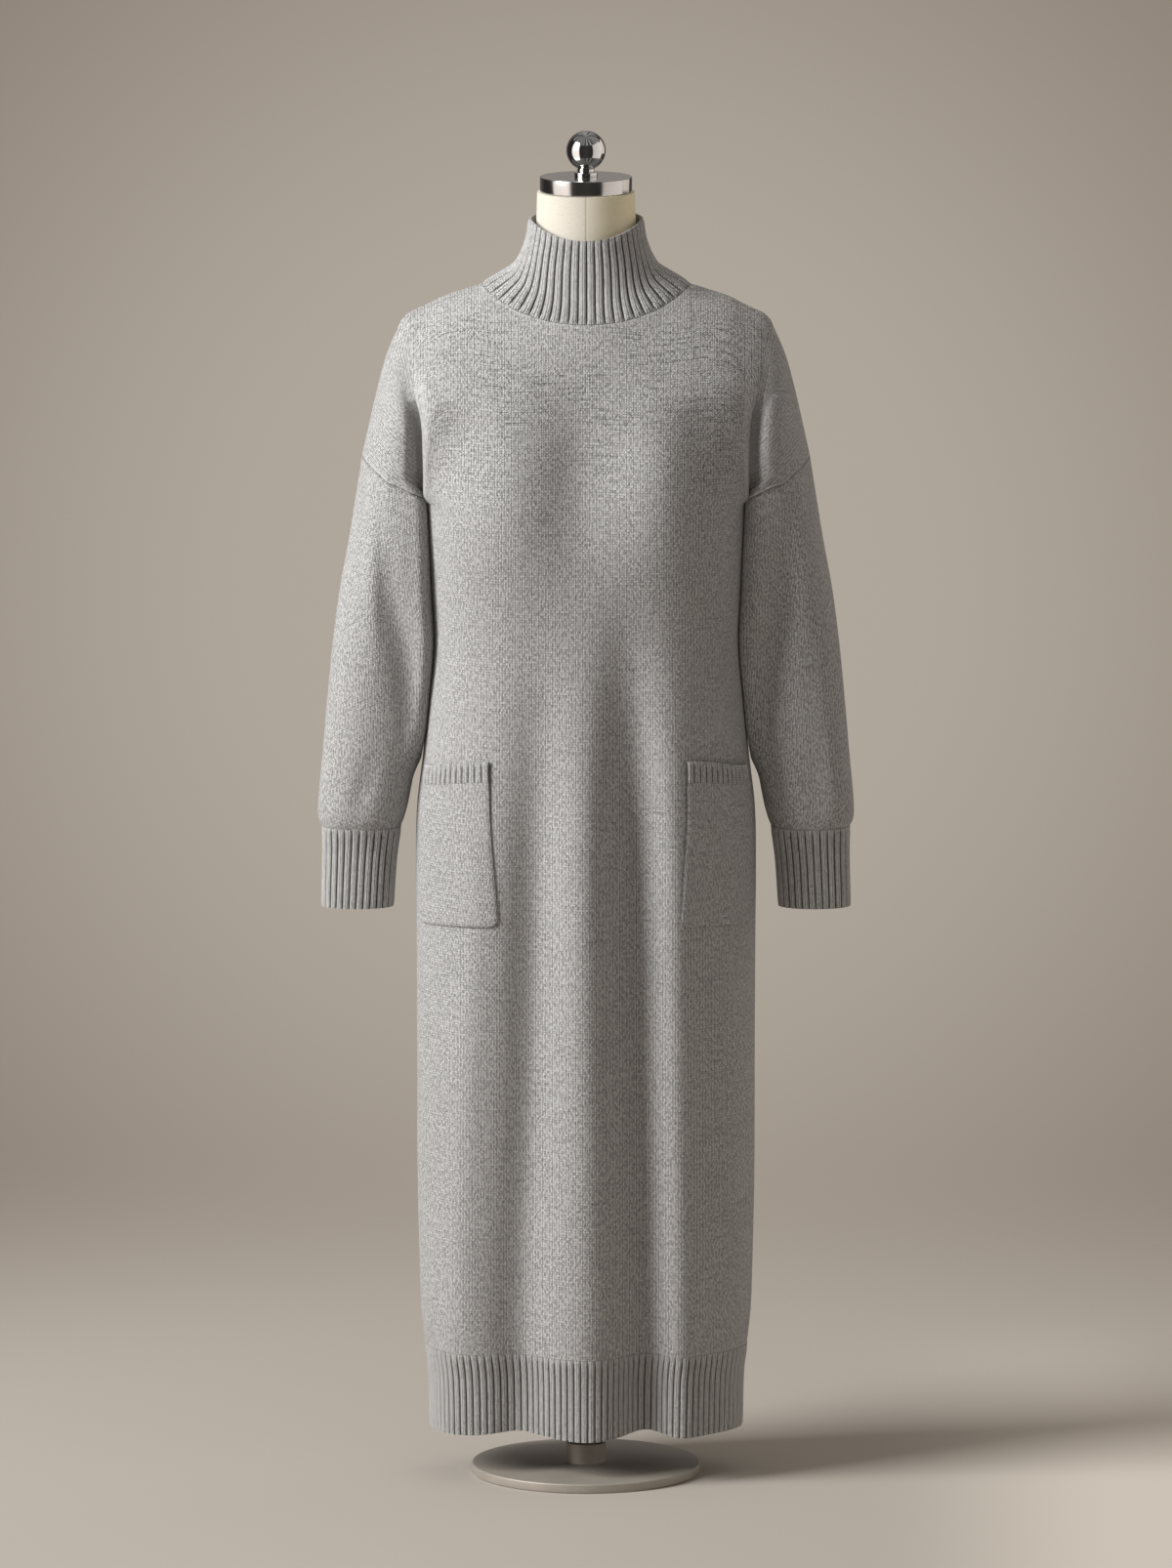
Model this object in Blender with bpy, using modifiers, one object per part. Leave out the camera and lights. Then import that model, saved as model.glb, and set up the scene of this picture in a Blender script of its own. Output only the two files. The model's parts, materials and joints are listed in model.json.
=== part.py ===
"""Long sweater dress with a ribbed funnel neck, worn by a limbless dress form.

Units are metres and +Z is up.  The dress faces -Y, and the origin lies on the
floor under the centre of the stand.  Each piece that is cut and sewn is one
closed wall of cloth, a hair clear of its neighbours at the seams.
"""
import math
from collections import namedtuple

import bmesh
import bpy
from mathutils import Vector

# ---------------------------------------------------------------- cloth
CLOTH = 0.0022                 # wall of the plain knit
RIB_CLOTH = 0.0022             # wall under the ribs
RIB_RISE = 0.0013              # how far a rib stands out
SEAM_RIB_RISE = 0.0010         # and where it meets plain knit
SEAM_GAP = 0.0003              # clearance between neighbouring pieces
SHARP_EDGE = 55.0              # degrees; gentler edges are shaded smooth
TURN_STEP = 2.0                # degrees either side of a point to read its direction
CLIMB_STEP = 0.02              # the same up the collar, as a share of its height
FRONT = -1
BACK = 1
LEFT = -1
RIGHT = 1

# ---------------------------------------------------------------- body
TRUNK_COLUMNS = 30             # facets across the front, side seam to side seam
HEM_EDGE = 0.0515              # lower edge of the skirt
HEM_SEAM = 0.1385              # where the hem rib meets the plain knit
POCKET_FLOOR = 0.598
POCKET_RIB_SEAM = 0.751
POCKET_MOUTH = 0.773
ARMPIT = 1.0371

# Half width and depths of the body from the hem to the armpit, and how much flatter
# each section is than an ellipse, which has 2.
Slice = namedtuple("Slice", "height half_width front back flat")
TRUNK = (
    Slice(0.0515, 0.1636, 0.092, 0.100, 2.1),
    Slice(0.1110, 0.1652, 0.094, 0.102, 2.1),
    Slice(0.1385, 0.1690, 0.098, 0.105, 2.1),
    Slice(0.1740, 0.1729, 0.101, 0.108, 2.1),
    Slice(0.2160, 0.1745, 0.103, 0.110, 2.1),
    Slice(0.3200, 0.1766, 0.107, 0.115, 2.1),
    Slice(0.4660, 0.1768, 0.113, 0.122, 2.2),
    Slice(0.5850, 0.1773, 0.120, 0.130, 2.2),
    Slice(0.6470, 0.1777, 0.123, 0.133, 2.2),
    Slice(0.7090, 0.1765, 0.125, 0.133, 2.2),
    Slice(0.7680, 0.1698, 0.125, 0.128, 2.3),
    Slice(0.8280, 0.1636, 0.124, 0.120, 2.4),
    Slice(0.8870, 0.1589, 0.124, 0.112, 2.5),
    Slice(0.9460, 0.1616, 0.127, 0.110, 2.7),
    Slice(0.9980, 0.1643, 0.130, 0.112, 2.9),
    Slice(1.0371, 0.1658, 0.131, 0.114, 3.0),
)
TRUNK_ROWS = (HEM_SEAM, 0.205, 0.290, 0.385, 0.490, POCKET_FLOOR, 0.670,
              POCKET_RIB_SEAM, POCKET_MOUTH, 0.820, 0.885, 0.945, 1.000, ARMPIT)

# Long folds of the skirt: a crest has a positive rise, a trough a negative one.
Fold = namedtuple("Fold", "panel top_x low_x top full rise width")
FOLDS = (
    Fold(FRONT, -0.046, -0.054, 0.98, 0.58, -0.0195, 0.025),
    Fold(FRONT, 0.040, 0.056, 1.00, 0.58, -0.0235, 0.025),
    Fold(FRONT, -0.003, 0.001, 0.90, 0.50, 0.008, 0.026),
    Fold(FRONT, -0.100, -0.108, 0.80, 0.40, 0.006, 0.024),
    Fold(FRONT, 0.092, 0.100, 0.94, 0.50, 0.008, 0.023),
    Fold(BACK, -0.060, -0.072, 0.84, 0.14, -0.020, 0.026),
    Fold(BACK, 0.022, 0.012, 0.90, 0.16, -0.016, 0.024),
    Fold(BACK, 0.082, 0.096, 0.72, 0.14, -0.018, 0.024),
    Fold(BACK, -0.026, -0.030, 0.70, 0.14, 0.007, 0.024),
    Fold(BACK, 0.050, 0.056, 0.66, 0.14, 0.008, 0.022),
)

# Broad swells and hollows of the upper body.
Swell = namedtuple("Swell", "panel x height rise half_width half_height")
SWELLS = (
    Swell(FRONT, -0.082, 1.020, 0.008, 0.050, 0.065),
    Swell(FRONT, 0.082, 1.020, 0.008, 0.050, 0.065),
    Swell(FRONT, -0.006, 1.085, -0.009, 0.035, 0.080),
    Swell(FRONT, 0.078, 1.090, 0.005, 0.034, 0.060),
    Swell(BACK, -0.080, 1.110, 0.006, 0.050, 0.070),
    Swell(BACK, 0.080, 1.110, 0.006, 0.050, 0.070),
)

# ---------------------------------------------------------------- yoke
YOKE_ROWS = (0.0, 0.10, 0.22, 0.35, 0.48, 0.61, 0.74, 0.86, 0.95, 1.0)
ARM_COLUMNS = 8                # facets over the front of the upper arm
NECK_SHARE = 8 / 15            # share of the panel's columns that end at the neck
WEB = 0.0060                   # width of the fold's floor between body and arm

# The shoulder line at y = 0, from the neck out to the arm's fold.
Shoulder = namedtuple("Shoulder", "x height")
SHOULDER_LINE = (
    Shoulder(0.1080, 1.2590),
    Shoulder(0.1228, 1.2545),
    Shoulder(0.1482, 1.2463),
    Shoulder(0.1644, 1.2381),
    Shoulder(0.1858, 1.2279),
    Shoulder(0.1918, 1.2215),
)
SHOULDER_END = 0.1858

# The fold between body and arm: place up the yoke, distance out, and how full it is
# before the shoulder rounds it off.
Crease = namedtuple("Crease", "up x fullness")
CREASE = (
    Crease(0.000, 0.1658, 0.000),
    Crease(0.100, 0.1670, 0.050),
    Crease(0.217, 0.1682, 0.070),
    Crease(0.463, 0.1715, 0.092),
    Crease(0.636, 0.1790, 0.112),
    Crease(0.776, 0.1832, 0.125),
    Crease(0.900, 0.1845, 0.130),
    Crease(1.000, 0.1858, 0.131),
)

# The upper arm: its outer line, and how full it is before the shoulder rounds it off.
Arm = namedtuple("Arm", "up out_x out_height fullness")
ARM = (
    Arm(0.00, 0.2328, 1.0803, 0.0750),
    Arm(0.20, 0.2270, 1.1065, 0.0840),
    Arm(0.46, 0.2185, 1.1440, 0.1000),
    Arm(0.64, 0.2125, 1.1680, 0.1150),
    Arm(0.78, 0.2080, 1.1830, 0.1255),
    Arm(0.90, 0.2035, 1.1950, 0.1305),
    Arm(1.00, 0.1990, 1.2054, 0.1310),
)

NECK_SIDE_X = 0.1080
NECK_SIDE_HEIGHT = 1.2590
NECK_SAG = 2.3                 # how sharply the neckline drops from the shoulder
NECK_HOLD = 4                  # how close to the seam its own curve sets in
CREASE_HOLD = 4                # how close to the arm the fold's own line sets in
YOKE_FLAT = 3.0                # how much flatter the yoke is than an ellipse
RIDGE = 0.0162                 # rise of the shoulder line where it crosses over the neck
CHEST_ROUND = 2.10             # how the yoke rounds over: at its middle
ARM_ROUND = 1.50               # and over the arms

# The middle of the neckline: how far out, how high, and how the seam leans.
Neckline = namedtuple("Neckline", "depth height lean")
NECKLINE = {FRONT: Neckline(0.088, 1.2273, 22.0), BACK: Neckline(0.075, 1.2700, 30.0)}
NECK_SIDE_LEAN = 62.0          # degrees between the seam's outward side and level

# ---------------------------------------------------------------- collar
COLLAR_RIBS = 46
COLLAR_TOP = {FRONT: 1.3115, BACK: 1.3320}
COLLAR_TOP_SIDE = 1.3281
COLLAR_ROWS = (0.0, 0.16, 0.42, 0.95, 1.0)
Collar = namedtuple("Collar", "up half_width front back")
COLLAR = (
    Collar(0.00, 0.1080, 0.0880, 0.0750),
    Collar(0.12, 0.0935, 0.0815, 0.0710),
    Collar(0.25, 0.0780, 0.0755, 0.0670),
    Collar(0.40, 0.0700, 0.0710, 0.0640),
    Collar(0.60, 0.0640, 0.0670, 0.0615),
    Collar(0.80, 0.0605, 0.0640, 0.0600),
    Collar(1.00, 0.0590, 0.0620, 0.0590),
)

# ---------------------------------------------------------------- sleeves
SLEEVE_COLUMNS = 2 * ARM_COLUMNS
SLEEVE_ROWS = 12
CUFF_RIBS = 28
CUFF_ROWS = (0.0, 0.35, 1.0)
Tube = namedtuple("Tube", "down in_x in_height out_x out_height front back")
SLEEVE = (
    Tube(0.00, 0.1718, 1.0371, 0.2328, 1.0803, 0.0750, 0.0750),
    Tube(0.08, 0.1702, 1.0080, 0.2395, 1.0380, 0.0745, 0.0770),
    Tube(0.18, 0.1688, 0.9740, 0.2470, 0.9920, 0.0710, 0.0760),
    Tube(0.31, 0.1662, 0.9300, 0.2565, 0.9400, 0.0630, 0.0710),
    Tube(0.45, 0.1642, 0.8800, 0.2638, 0.8850, 0.0550, 0.0640),
    Tube(0.60, 0.1688, 0.8250, 0.2696, 0.8280, 0.0490, 0.0580),
    Tube(0.76, 0.1765, 0.7660, 0.2748, 0.7680, 0.0440, 0.0520),
    Tube(0.90, 0.1850, 0.7160, 0.2796, 0.7160, 0.0400, 0.0460),
    Tube(0.96, 0.1900, 0.6970, 0.2795, 0.6970, 0.0370, 0.0410),
    Tube(1.00, 0.1935, 0.6886, 0.2755, 0.6886, 0.0330, 0.0370),
)
CUFF = (
    Tube(0.00, 0.1935, 0.6886, 0.2755, 0.6886, 0.0330, 0.0370),
    Tube(0.20, 0.1962, 0.6716, 0.2745, 0.6716, 0.0275, 0.0320),
    Tube(0.45, 0.1988, 0.6504, 0.2746, 0.6504, 0.0255, 0.0295),
    Tube(1.00, 0.2020, 0.6037, 0.2758, 0.6037, 0.0260, 0.0295),
)

# ---------------------------------------------------------------- hem rib
HEM_RIBS = 61                  # on the front, and as many on the back
HEM_ROWS = (1.0, 0.0)
SIDE_ANGLE = 89.0              # past this angle the wall faces straight out

# ---------------------------------------------------------------- pockets
POCKET_CLOTH = 0.0020
POCKET_GAP = 0.0004            # between the pocket and the front it is sewn to
POCKET_STAND = 0.0032          # how far the mouth stands off
POCKET_RIBS = 13
POCKET_RIM = 0.6               # degrees from a pocket's edge to its next column
Pocket = namedtuple("Pocket", "side inner_top inner_low outer_top outer_low")
POCKETS = (
    Pocket(LEFT, 36.2, 30.6, 75.0, 73.0),
    Pocket(RIGHT, 37.8, 33.0, 75.0, 73.0),
)

# ---------------------------------------------------------------- dress form
FORM_COLUMNS = 16
FORM_NECK_SHARE = 10 / 16
FORM_CLEARANCE = 0.0004        # under the shoulder line, where the dress rests
FORM_CHEST = 1.060
FORM_TIP_X = 0.1760
FORM_ARM_X = 0.1500
FORM_CHEST_ROUND = 1.30        # how the torso rounds over: at its middle
FORM_ARM_ROUND = 1.45          # and over the arms
RIDGE_STEP = 0.004             # either side of a point to read the shoulder's slope
Ring = namedtuple("Ring", "height half_width front back")
FORM = (
    Ring(0.600, 0.1480, 0.080, 0.096),
    Ring(0.660, 0.1580, 0.084, 0.106),
    Ring(0.740, 0.1540, 0.086, 0.108),
    Ring(0.820, 0.1380, 0.088, 0.096),
    Ring(0.890, 0.1220, 0.086, 0.080),
    Ring(0.950, 0.1300, 0.098, 0.084),
    Ring(1.020, 0.1460, 0.120, 0.094),
    Ring(1.060, 0.1500, 0.118, 0.096),
)
FORM_ROWS = (0.600, 0.630, 0.680, 0.740, 0.800, 0.850, 0.890, 0.940, 0.990, 1.030, 1.060)
FORM_YOKE_ROWS = (0.0, 0.25, 0.50, 0.70, 0.86, 0.96, 1.0)
FORM_NECK_SIDE = (0.0620, 1.2740)
FORM_NECK = {FRONT: (0.0600, 1.2440), BACK: (0.0600, 1.2620)}
Neck = namedtuple("Neck", "height radius")
FORM_NECK_RINGS = (Neck(1.2920, 0.0530), Neck(1.3200, 0.0515), Neck(1.3553, 0.0505))

CAP_LOW = 1.3556
CAP_TOP = 1.3712
CAP_RADIUS = 0.0480
CAP_BEVEL = 0.0012
BALL_RADIUS = 0.0206
BALL_HEIGHT = 1.3985
BALL_FOOT = 0.0072             # radius at which the ball meets its rings
FINIAL_RINGS = ((0.0120, 0.0042), (0.0090, 0.0046))    # radius and height of each ring

POLE_RADIUS = 0.0125
BASE_RADIUS = 0.1200
BASE_THICKNESS = 0.0100
BASE_BEVEL = 0.0020
SOCKET_RADIUS = 0.0210
SOCKET_HEIGHT = 0.0220
ROUND_STEPS = 32
BALL_STEPS = 8

# ---------------------------------------------------------------- finishes
Finish = namedtuple("Finish", "colour roughness metallic")
FINISHES = {
    "grey_knit": Finish((0.245, 0.240, 0.232), 0.92, 0.0),
    "grey_rib": Finish((0.225, 0.221, 0.214), 0.92, 0.0),
    "linen": Finish((0.660, 0.610, 0.520), 0.85, 0.0),
    "steel": Finish((0.620, 0.600, 0.580), 0.22, 1.0),
    "chrome": Finish((0.700, 0.690, 0.680), 0.08, 1.0),
    "taupe_paint": Finish((0.400, 0.365, 0.325), 0.55, 0.2),
}


# ================================================================ helpers
def along(table, field, at):
    """One column of a table, read between its rows on a smooth curve."""
    places = [row[0] for row in table]
    values = [getattr(row, field) for row in table]
    last = len(places) - 1
    if at <= places[0]:
        return values[0]
    if at >= places[last]:
        return values[last]
    k = max(i for i in range(last) if places[i] <= at)
    span = places[k + 1] - places[k]
    t = (at - places[k]) / span

    def slope(i):
        low, high = max(i - 1, 0), min(i + 1, last)
        return (values[high] - values[low]) / (places[high] - places[low])

    start = (1 + 2 * t) * (1 - t) ** 2 * values[k] + t * (1 - t) ** 2 * span * slope(k)
    end = t * t * (3 - 2 * t) * values[k + 1] + t * t * (t - 1) * span * slope(k + 1)
    return start + end


def mix(low, high, share):
    """The value at a share of the way from low to high."""
    return low + (high - low) * share


def ease(share):
    """A share that starts and ends gently, held between 0 and 1."""
    share = min(max(share, 0.0), 1.0)
    return share * share * (3 - 2 * share)


def bell(distance, width):
    """A soft hump, 1 at no distance and nearly 0 at two widths."""
    return math.exp(-((distance / width) ** 2))


def angles(columns):
    """Angles in degrees from one side seam over the middle to the other."""
    return [-90 + 180 * j / columns for j in range(columns + 1)]


def on_chain(chain, angle):
    """The point at an angle on a chain of points that are evenly spaced in angle."""
    place = (angle + 90) / 180 * (len(chain) - 1)
    k = min(max(int(place), 0), len(chain) - 2)
    return chain[k].lerp(chain[k + 1], place - k)


def even_angles(ring_point, count, start, end, steps=360):
    """Angles that cut a ring into pieces of equal length."""
    marks = [mix(start, end, k / steps) for k in range(steps + 1)]
    points = [ring_point(mark) for mark in marks]
    lengths = [0.0]
    for a, b in zip(points, points[1:]):
        lengths.append(lengths[-1] + (b - a).length)
    found = []
    k = 0
    for i in range(count + 1):
        wanted = lengths[-1] * i / count
        while k < steps - 1 and lengths[k + 1] < wanted:
            k += 1
        share = (wanted - lengths[k]) / (lengths[k + 1] - lengths[k])
        found.append(mix(marks[k], marks[k + 1], share))
    return found


def finish_material(name):
    """A Principled material with one of the object's finishes."""
    material = bpy.data.materials.get(name)
    if material is None:
        finish = FINISHES[name]
        material = bpy.data.materials.new(name)
        material.use_nodes = True
        shader = material.node_tree.nodes["Principled BSDF"]
        shader.inputs["Base Color"].default_value = (*finish.colour, 1.0)
        shader.inputs["Roughness"].default_value = finish.roughness
        shader.inputs["Metallic"].default_value = finish.metallic
    return material


def add_object(name, mesh, finish, parts):
    """Put a finished mesh into the collection as a named sub-part."""
    mesh.shade_smooth()
    mesh.set_sharp_from_angle(angle=math.radians(SHARP_EDGE))
    part = bpy.data.objects.new(name, mesh)
    part.data.materials.append(finish_material(finish))
    parts.objects.link(part)
    return part


def mesh_object(name, points, faces, finish, parts):
    """A sub-part from points and faces, turned so that its faces point out."""
    bm = bmesh.new()
    verts = [bm.verts.new(point) for point in points]
    for face in faces:
        bm.faces.new([verts[i] for i in face])
    if bm.calc_volume(signed=True) < 0:
        bmesh.ops.reverse_faces(bm, faces=bm.faces)
    mesh = bpy.data.meshes.new(name)
    bm.to_mesh(mesh)
    bm.free()
    return add_object(name, mesh, finish, parts)


def grid_faces(rows):
    """Quads between rows of vertex numbers."""
    faces = []
    for low, high in zip(rows, rows[1:]):
        for j in range(len(low) - 1):
            faces.append((low[j], low[j + 1], high[j + 1], high[j]))
    return faces


def corner_normals(points, faces):
    """The mean direction that the faces round each point look in."""
    normals = [Vector() for _ in points]
    for face in faces:
        a, b, c, d = (points[i] for i in face)
        normal = (c - a).cross(d - b)
        for i in face:
            normals[i] += normal
    return [normal.normalized() for normal in normals]


def cloth_wall(name, points, faces, thickness, seams, finish, parts):
    """A sheet of outer faces made into a closed wall of cloth.

    seams gives the direction of the wall at the points where it has to match
    a neighbour's, and the faces' own direction holds everywhere else.
    """
    normals = corner_normals(points, faces)
    inner = []
    for i, point in enumerate(points):
        inner.append(point - seams.get(i, normals[i]) * thickness)
    count = len(points)
    used = {}
    for face in faces:
        for a, b in zip(face, face[1:] + face[:1]):
            used[(a, b)] = True
    rim = [(b, a, a + count, b + count) for a, b in used if (b, a) not in used]
    back = [tuple(i + count for i in reversed(face)) for face in faces]
    return mesh_object(name, points + inner, list(faces) + back + rim, finish, parts)


def ribbed_wall(name, rows, outs, rises, closed, finish, parts, thickness=RIB_CLOTH):
    """A wall with three outer columns to a rib over a plain inside.

    rows holds the cloth's outer points, three columns to a rib, outs the
    direction out of the cloth at each, and rises the height of the ribs in
    each row.
    """
    width = len(rows[0])
    ribs = width // 3
    columns = width if closed else ribs * 3 + 1
    inner_columns = ribs if closed else ribs + 1
    points = []
    for row, out, rise in zip(rows, outs, rises):
        for j in range(columns):
            raised = rise if j % 3 else 0.0
            points.append(row[j] + out[j] * raised)
    shift = len(points)
    for row, out in zip(rows, outs):
        for k in range(inner_columns):
            points.append(row[3 * k] - out[3 * k] * thickness)
    faces = []

    def outer(i, j):
        return i * columns + (j % columns if closed else j)

    def inner(i, k):
        return shift + i * inner_columns + (k % inner_columns if closed else k)

    for i in range(len(rows) - 1):
        for j in range(ribs * 3):
            faces.append((outer(i, j), outer(i, j + 1), outer(i + 1, j + 1), outer(i + 1, j)))
        for k in range(ribs):
            faces.append((inner(i, k), inner(i + 1, k), inner(i + 1, k + 1), inner(i, k + 1)))
    for i, flip in ((0, False), (len(rows) - 1, True)):
        for k in range(ribs):
            a, b, c, d = (outer(i, 3 * k + step) for step in range(4))
            cap = [(b, a, inner(i, k)), (c, b, inner(i, k), inner(i, k + 1)),
                   (d, c, inner(i, k + 1))]
            faces += [tuple(reversed(face)) for face in cap] if flip else cap
    if not closed:
        for i in range(len(rows) - 1):
            faces.append((outer(i, 0), outer(i + 1, 0), inner(i + 1, 0), inner(i, 0)))
            faces.append((outer(i + 1, ribs * 3), outer(i, ribs * 3),
                          inner(i, ribs), inner(i + 1, ribs)))
    return mesh_object(name, points, faces, finish, parts)


def turned(name, profile, finish, parts):
    """A turned piece from the radius and height of its corners, top to bottom."""
    mesh = bpy.data.meshes.new(name)
    edges = [(i, i + 1) for i in range(len(profile) - 1)]
    mesh.from_pydata([(radius, 0.0, height) for radius, height in profile], edges, [])
    part = bpy.data.objects.new(name, mesh)
    parts.objects.link(part)
    part.data.materials.append(finish_material(finish))
    screw = part.modifiers.new("Turn", "SCREW")
    screw.steps = ROUND_STEPS
    screw.render_steps = ROUND_STEPS
    screw.use_merge_vertices = True
    screw.merge_threshold = 0.00001
    screw.use_smooth_shade = True
    return part


# ================================================================ body surface
def fold_rise(panel, x, height):
    """How far the folds and swells move the cloth out at a place."""
    rise = 0.0
    for fold in FOLDS:
        if fold.panel == panel and height < fold.top:
            strength = ease((fold.top - height) / (fold.top - fold.full))
            line = mix(fold.low_x, fold.top_x, (height - HEM_EDGE) / (fold.top - HEM_EDGE))
            rise += fold.rise * strength * bell(x - line, fold.width)
    for swell in SWELLS:
        if swell.panel == panel:
            near = bell(x - swell.x, swell.half_width)
            rise += swell.rise * near * bell(height - swell.height, swell.half_height)
    return rise


def section(across, flat):
    """How far forward a flattened ellipse reaches, at a share of its half width."""
    return max(1 - abs(across) ** flat, 0.0) ** (1 / flat)


def trunk_point(panel, angle, height):
    """A point of the body below the armpits, at an angle from the middle."""
    across = math.sin(math.radians(angle))
    forward = section(across, along(TRUNK, "flat", height))
    x = along(TRUNK, "half_width", height) * across
    depth = along(TRUNK, "front" if panel == FRONT else "back", height) * forward
    depth += fold_rise(panel, x, height) * math.sqrt(forward)
    return Vector((x, panel * max(depth, SEAM_GAP / 2), height))


def neck_point(panel, share):
    """A point of the neckline, from -1 at one shoulder over the middle to 1."""
    turn = math.radians(90 * share)
    neckline = NECKLINE[panel]
    height = mix(neckline.height, NECK_SIDE_HEIGHT, abs(math.sin(turn)) ** NECK_SAG)
    return Vector((NECK_SIDE_X * math.sin(turn), panel * neckline.depth * math.cos(turn), height))


def neck_out(panel, share):
    """The way the neck seam's wall faces: out and up, steeper at the shoulders."""
    turn = math.radians(90 * share)
    lean = math.radians(mix(NECKLINE[panel].lean, NECK_SIDE_LEAN, math.sin(turn) ** 2))
    level = Vector((math.sin(turn), panel * math.cos(turn), 0.0)).normalized()
    return level * math.cos(lean) + Vector((0.0, 0.0, math.sin(lean)))


def shoulder_height(x):
    """Height of the shoulder line at a distance out from the middle."""
    return along(SHOULDER_LINE, "height", abs(x))


def yoke_edge(panel, share):
    """The upper edge of a body panel, from one arm fold over the neck to the other."""
    if abs(share) <= NECK_SHARE:
        return neck_point(panel, share / NECK_SHARE)
    out = (abs(share) - NECK_SHARE) / (1 - NECK_SHARE)
    x = mix(NECK_SIDE_X, SHOULDER_END, out)
    return Vector((math.copysign(x, share), 0.0, shoulder_height(x)))


def ridge_height(x):
    """Height of the shoulder line, carried on in a low arch over the neck."""
    return shoulder_height(x) + RIDGE * max(1 - (x / NECK_SIDE_X) ** 2, 0.0)


def yoke_depth(panel, x, height, up):
    """How far forward the yoke lies at a place, without the pull of the neck seam."""
    across = min(abs(x) / along(CREASE, "x", up), 1.0)
    climb = (height - ARMPIT) / (ridge_height(x) - ARMPIT)
    climb = min(max(mix(climb, up, across ** CREASE_HOLD), 0.0), 1.0)
    forward = section(across, YOKE_FLAT)
    middle = along(TRUNK, "front" if panel == FRONT else "back", ARMPIT)
    depth = mix(along(CREASE, "fullness", up), middle, forward)
    depth += fold_rise(panel, x, height) * math.sqrt(forward)
    return depth * rounding(climb, mix(CHEST_ROUND, ARM_ROUND, across ** 3))


def yoke_point(panel, share, up):
    """A point of the yoke between the arm folds; up runs from armpit level to the top."""
    top = yoke_edge(panel, share)
    low_x = along(CREASE, "x", 0.0)
    x = mix(low_x * math.sin(math.radians(90 * share)), top.x, up)
    bow = along(CREASE, "x", up) - mix(low_x, along(CREASE, "x", 1.0), up)
    x += math.copysign(1.0, share) * bow * abs(share) ** CREASE_HOLD
    height = mix(ARMPIT, top.z, up)
    depth = yoke_depth(panel, x, height, up)
    missing = abs(top.y) - yoke_depth(panel, top.x, top.z, 1.0)
    depth += missing * up ** NECK_HOLD
    return Vector((x, panel * max(depth, SEAM_GAP / 2), height))


def rounding(up, power=ARM_ROUND):
    """How much of its fullness the yoke keeps on its way up to the shoulder."""
    return max(1 - up ** power, 0.0) ** (1 / power)


def arm_row(side, up):
    """The inner and outer ends of one row over the upper arm, and its bulge."""
    inner_x = along(CREASE, "x", up) + WEB
    inner_height = mix(ARMPIT, shoulder_height(SHOULDER_END + WEB), up)
    inner = Vector((side * inner_x, 0.0, inner_height))
    outer = Vector((side * along(ARM, "out_x", up), 0.0, along(ARM, "out_height", up)))
    depth = along(CREASE, "fullness", up) * rounding(up)
    bulge = along(ARM, "fullness", up) * rounding(up)
    return inner, outer, depth, bulge


def arm_point(panel, side, share, up):
    """A point of the panel over the upper arm, from its fold (0) to its outer line (1)."""
    inner, outer, depth, bulge = arm_row(side, up)
    start = -math.acos(min(depth / bulge, 1.0)) if bulge > 0.0001 else 0.0
    turn = mix(start, math.pi / 2, share)
    reach = (math.sin(turn) - math.sin(start)) / (1 - math.sin(start))
    point = inner.lerp(outer, reach)
    point.y = panel * max(bulge * math.cos(turn), SEAM_GAP / 2)
    return point


def armhole_plane(side):
    """The direction across the armhole, from the armpit to the top of the sleeve."""
    inner, outer, _, _ = arm_row(side, 0.0)
    return (outer - inner).normalized()


def tube_point(row, side, angle):
    """A point of a sleeve or cuff: -90 faces the body, 0 the front, 90 out."""
    turn = math.radians(angle)
    inner = Vector((side * row.in_x, 0.0, row.in_height))
    outer = Vector((side * row.out_x, 0.0, row.out_height))
    middle = (inner + outer) / 2
    point = middle + (outer - middle) * math.sin(turn)
    point.y = -(row.front if math.cos(turn) > 0 else row.back) * math.cos(turn)
    return point


def tube_out(row, side, angle):
    """The way out of the cloth at a point of a sleeve or cuff, within its ring."""
    turn = math.radians(angle)
    inner = Vector((side * row.in_x, 0.0, row.in_height))
    outer = Vector((side * row.out_x, 0.0, row.out_height))
    half = (outer - inner) / 2
    depth = row.front if math.cos(turn) > 0 else row.back
    level = half.normalized() * math.sin(turn) / half.length
    return (level + Vector((0.0, -math.cos(turn) / depth, 0.0))).normalized()


def tube_row(table, down):
    """One ring of a sleeve or cuff, read between the rows of its table."""
    return Tube(down, *(along(table, field, down) for field in Tube._fields[1:]))


# ================================================================ sewn pieces
def outline_normals(chain):
    """Directions out of a chain of seam points, level with it in y."""
    normals = []
    for k, _ in enumerate(chain):
        before, after = chain[max(k - 1, 0)], chain[min(k + 1, len(chain) - 1)]
        run = (after - before).normalized()
        normals.append(Vector((-run.z, 0.0, run.x)))
    return normals


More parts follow.
